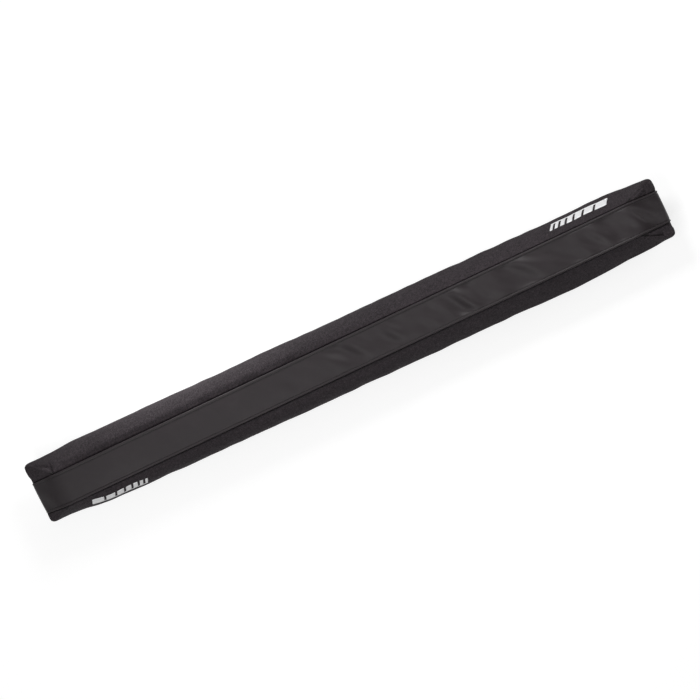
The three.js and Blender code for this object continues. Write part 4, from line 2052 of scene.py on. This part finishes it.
@dataclass(frozen=True)
class FilmFinish:
    """Printed reflective film with fine glass beads, over the cloth's weave, with painted shade in the
    weave's hollows.
    """

    name: str
    colour: Colour
    # Colour of the painted shade in the weave's hollows.
    hollow_shade_colour: Colour = (0.09, 0.09, 0.09)
    bead: float = 0.25 * MM
    yarn: float = 0.55 * MM

    def build(self) -> bpy.types.Material:
        """Make the material.

        Returns:
            The material.
        """
        material, tree, shader = new_material(self.name, specular=0.5)
        beads = Grain.place(tree, place=object_place(tree), grain=self.bead)
        weave = Weave.place(tree, place=object_place(tree), yarn=self.yarn, slack=0.4)
        dark = tuple(0.55 * part for part in self.colour)
        tone = tree.blend(tree.math("MULTIPLY", beads["Speckle"], 0.6), (*self.colour, 1), (*dark, 1))
        # Painted shade: the film is darkened in the weave's hollows.
        film_hollow_shaded = tree.blend(tree.math("MULTIPLY", weave["Hollow"], 0.35), tone, (*self.hollow_shade_colour, 1))
        tree.feed(shader.inputs["Base Color"], film_hollow_shaded)
        tree.feed(shader.inputs["Roughness"], tree.span(beads["Speckle"], 0.0, 1.0, 0.34, 0.5))
        relief = tree.math("MULTIPLY_ADD", weave["Height"], 1.0, beads["Height"])
        tree.feed(shader.inputs["Normal"], bump_normal(tree, relief, 0.05 * MM, 0.5))
        shader.inputs["Metallic"].default_value = 0.15
        return material


@dataclass(frozen=True)
class FloorFinish:
    """A white studio floor that keeps the shadow of what stands on it."""

    name: str = "studio_floor"
    colour: float = 0.45
    lift: float = 0.73

    def build(self) -> bpy.types.Material:
        """Make the material.

        Returns:
            The material.
        """
        material, tree, shader = new_material(self.name, specular=0.0)
        shader.inputs["Base Color"].default_value = (self.colour, self.colour, self.colour, 1)
        shader.inputs["Roughness"].default_value = 0.9
        rays = tree.add("ShaderNodeLightPath")
        seen = tree.math("ADD", rays.outputs["Is Camera Ray"], rays.outputs["Is Glossy Ray"])
        seen = tree.math("MINIMUM", tree.math("ADD", seen, rays.outputs["Is Transmission Ray"]), 1.0)
        shader.inputs["Emission Color"].default_value = (1.0, 1.0, 1.0, 1.0)
        tree.feed(shader.inputs["Emission Strength"], tree.math("MULTIPLY", seen, self.lift))
        return material


@dataclass(frozen=True)
class Lamp:
    """A soft area lamp that looks at the pad."""

    name: str
    place: tuple[float, float, float]
    aim: tuple[float, float, float]
    size: tuple[float, float]
    power: float

    def build(self) -> None:
        """Hang the lamp in the scene."""
        data = bpy.data.lights.new(self.name, "AREA")
        data.shape = "RECTANGLE"
        data.size, data.size_y = self.size
        data.energy = self.power
        lamp = bpy.data.objects.new(self.name, data)
        lamp.location = self.place
        way = Vector(self.aim) - Vector(self.place)
        lamp.rotation_euler = way.to_track_quat("-Z", "Y").to_euler()
        lamp.visible_camera = False
        bpy.context.scene.collection.objects.link(lamp)


@dataclass(frozen=True)
class Studio:
    """The floor, the lamps, the sky and the camera of the photograph."""

    lamps: tuple[Lamp, ...]
    world: float
    target: tuple[float, float, float] = (0.0075, 0.0029, 0.045)
    lean_right: float = math.radians(12.0)
    lean_rear: float = math.radians(4.0)
    roll: float = math.radians(24.63)
    distance: float = 5.0
    width_seen: float = 0.7535
    sensor: float = 36.0

    def camera(self) -> None:
        """Set the camera at the photograph's viewing angle, looking down on the pad."""
        toward = unit(np.array([math.tan(self.lean_right), math.tan(self.lean_rear), 1.0]))
        pad = unit(np.array([1.0, 0.0, 0.0]) - toward[0] * toward)
        across = np.cross(toward, pad)
        right = pad * math.cos(self.roll) - across * math.sin(self.roll)
        up = pad * math.sin(self.roll) + across * math.cos(self.roll)
        data = bpy.data.cameras.new("photograph")
        data.sensor_width = self.sensor
        data.lens = self.sensor * self.distance / self.width_seen
        data.clip_end = 50.0
        made = bpy.data.objects.new("photograph", data)
        place = np.array(self.target) + toward * self.distance
        turn = np.stack([right, up, toward], 1)
        made.matrix_world = Matrix.Translation(Vector(place)) @ Matrix(turn.tolist()).to_4x4()
        bpy.context.scene.collection.objects.link(made)
        bpy.context.scene.camera = made

    def floor(self) -> None:
        """Lay the floor under the pad."""
        half = 6.0
        corners = np.array([[-half, -half, 0], [half, -half, 0], [half, half, 0], [-half, half, 0]])
        floor = mesh_object("studio_floor", corners, [[0, 1, 2, 3]])
        floor.data.materials.append(FloorFinish().build())

    def sky(self) -> None:
        """Fill the scene with even light, and show it white to the camera."""
        world = bpy.data.worlds.new("studio")
        world.use_nodes = True
        tree = ShaderTree(world.node_tree)
        back = world.node_tree.nodes["Background"]
        rays = tree.add("ShaderNodeLightPath")
        back.inputs["Color"].default_value = (1.0, 1.0, 1.0, 1.0)
        strength = tree.span(rays.outputs["Is Camera Ray"], 0.0, 1.0, self.world, 1.0)
        tree.feed(back.inputs["Strength"], strength)
        bpy.context.scene.world = world

    def build(self) -> None:
        """Set the whole studio up."""
        bpy.context.scene.view_settings.view_transform = "Standard"
        self.camera()
        self.floor()
        self.sky()
        for lamp in self.lamps:
            lamp.build()


@dataclass
class Pad:
    """The whole pad: its pieces, in the order in which they are built, and their finishes."""

    form: BodyForm

    def finishes(self) -> dict[str, bpy.types.Material]:
        """Make the finishes.

        Returns:
            The material of each kind of stuff.
        """
        base = WovenFinish("woven_base", (0.022, 0.022, 0.023), (0.042, 0.042, 0.044), yarn=0.8 * MM)
        return {
            "woven": WovenFinish("woven_side", (0.0235, 0.0190, 0.0216), (0.057, 0.0462, 0.0527)).build(),
            "base": base.build(),
            "coated": CoatedFinish("coated_top", (0.0258, 0.0200, 0.0226)).build(),
            # The thread's second colour is the painted light on its strand crests.
            "thread": ThreadFinish("sewing_thread", (0.004, 0.004, 0.004), (0.014, 0.012, 0.0125)).build(),
            "foam": FoamFinish("closed_cell_foam", (0.13, 0.13, 0.135)).build(),
            "hook": TapeFinish("hook_tape", (0.014, 0.014, 0.0145), 0.2, 0.5).build(),
            "loop": TapeFinish("loop_tape", (0.018, 0.018, 0.019), 1.0, 0.85).build(),
            "film": FilmFinish("reflective_film", (0.92, 0.92, 0.93)).build(),
        }

    def folds(self, side: Side) -> tuple[Fold, ...]:
        """The folds that take up the spare cloth at the two corners of one side.

        Args:
            side: Side of the pad.

        Returns:
            The folds, placed in plan.
        """
        if side is Side.REAR:
            return (
                Fold(
                    (-0.3485, 0.0235), (-0.3705, 0.0335), depth=1.3 * MM, width=1.3 * MM,
                    left_drop=0.7 * MM, run=13 * MM, fade=4 * MM,
                ),
                Fold(
                    (-0.3488, 0.0165), (-0.3488, 0.0270), depth=1.4 * MM, width=1.3 * MM,
                    left_drop=0.5 * MM, run=13 * MM,
                ),
                Fold(
                    (0.3550, 0.0240), (0.3755, 0.0320), depth=-0.4 * MM, width=1.8 * MM,
                    right_drop=-1.5 * MM, run=7 * MM,
                ),
            )
        return (
            Fold((-0.3530, -0.0235), (-0.3710, -0.0300), depth=0.45 * MM, right_drop=-0.3 * MM, run=3 * MM),
            Fold(
                (0.3545, -0.0195), (0.3712, -0.0258), depth=2.6 * MM, width=1.4 * MM,
                right_drop=0.3 * MM, run=6 * MM,
            ),
            Fold((0.3500, -0.0175), (0.3550, -0.0182), depth=2.8 * MM, width=1.7 * MM, fade=2 * MM),
        )

    def mark(self, panel: SidePanel) -> ReflectiveMark:
        """The mark of one side; the rear one is printed lower and a little nearer its end.

        Args:
            panel: The side panel under the mark.

        Returns:
            The mark.
        """
        if panel.side is Side.FRONT:
            return ReflectiveMark(panel, from_end=54.5 * MM)
        return ReflectiveMark(panel, from_end=50 * MM, from_top=6.6 * MM, height=6.6 * MM)

    def dress(self, piece: bpy.types.Object, material: bpy.types.Material) -> None:
        """Give a piece its finish, and report it.

        Args:
            piece: The piece.
            material: Its material.
        """
        piece.data.materials.clear()
        piece.data.materials.append(material)
        log.info("%s: %d faces, %s", piece.name, len(piece.data.polygons), material.name)

    def build(self) -> None:
        """Build and dress every piece."""
        finish = self.finishes()
        swell = PaddingSimulation(self.form).run()
        top = CoatedTop(self.form)
        self.dress(FoamBlock(self.form).build(), finish["foam"])
        self.dress(top.build(), finish["coated"])
        base = BasePanel()
        self.dress(base.build(), finish["base"])
        rows = base.seams()
        for side in Side:
            panel = SidePanel(self.form, side, swell[side], self.folds(side))
            self.dress(panel.build(), finish["woven"])
            line, ups = top.stitch_line(side)
            stitches = StitchRow(f"topstitches_{side.label}", line, ups, pitch=top.pitch).build()
            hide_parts(f"topstitch_{side.label}")
            self.dress(stitches, finish["thread"])
            for end in End:
                self.dress(BarTack(self.form, panel, end).build(), finish["thread"])
            self.dress(self.mark(panel).build(), finish["film"])
            flap = Flap(side, tape_half=15 * MM if side is Side.FRONT else 17 * MM)
            self.dress(flap.build(), finish["woven"])
            rows += flap.seams()
        for row in rows:
            self.dress(row.build(), finish["thread"])
        self.dress(HookTape().build(), finish["hook"])
        self.dress(LoopTape().build(), finish["loop"])


def studio() -> Studio:
    """The studio that lights the pad as the photograph does.

    Returns:
        The studio.
    """
    return Studio(
        world=0.13,
        lamps=(
            Lamp("overhead", (-0.45, -0.15, 2.0), (0.1, 0.0, 0.05), (0.9, 0.8), 5.2),
            Lamp("near_rear", (-0.185, 0.21, 0.09), (-0.18, 0.03, 0.045), (0.14, 0.05), 0.41),
            Lamp("near_right", (0.24, 0.5, 0.5), (0.22, 0.0, 0.05), (0.3, 0.2), 2.5),
            Lamp("front_left", (-0.5, -0.9, 1.4), (-0.15, 0.0, 0.04), (0.6, 0.5), 5.7),
            Lamp("right", (1.5, 0.3, 1.0), (0.0, 0.0, 0.05), (0.8, 0.6), 4.5),
            Lamp("left", (-1.7, -0.2, 1.5), (-0.3, 0.0, 0.05), (0.8, 0.6), 2.7),
        ),
    )


def main() -> None:
    """Build the pad and its studio."""
    logging.basicConfig(level=logging.INFO, format="%(name)s: %(message)s")
    Pad(BodyForm.from_frame()).build()
    studio().build()


if __name__ == "__main__":
    main()
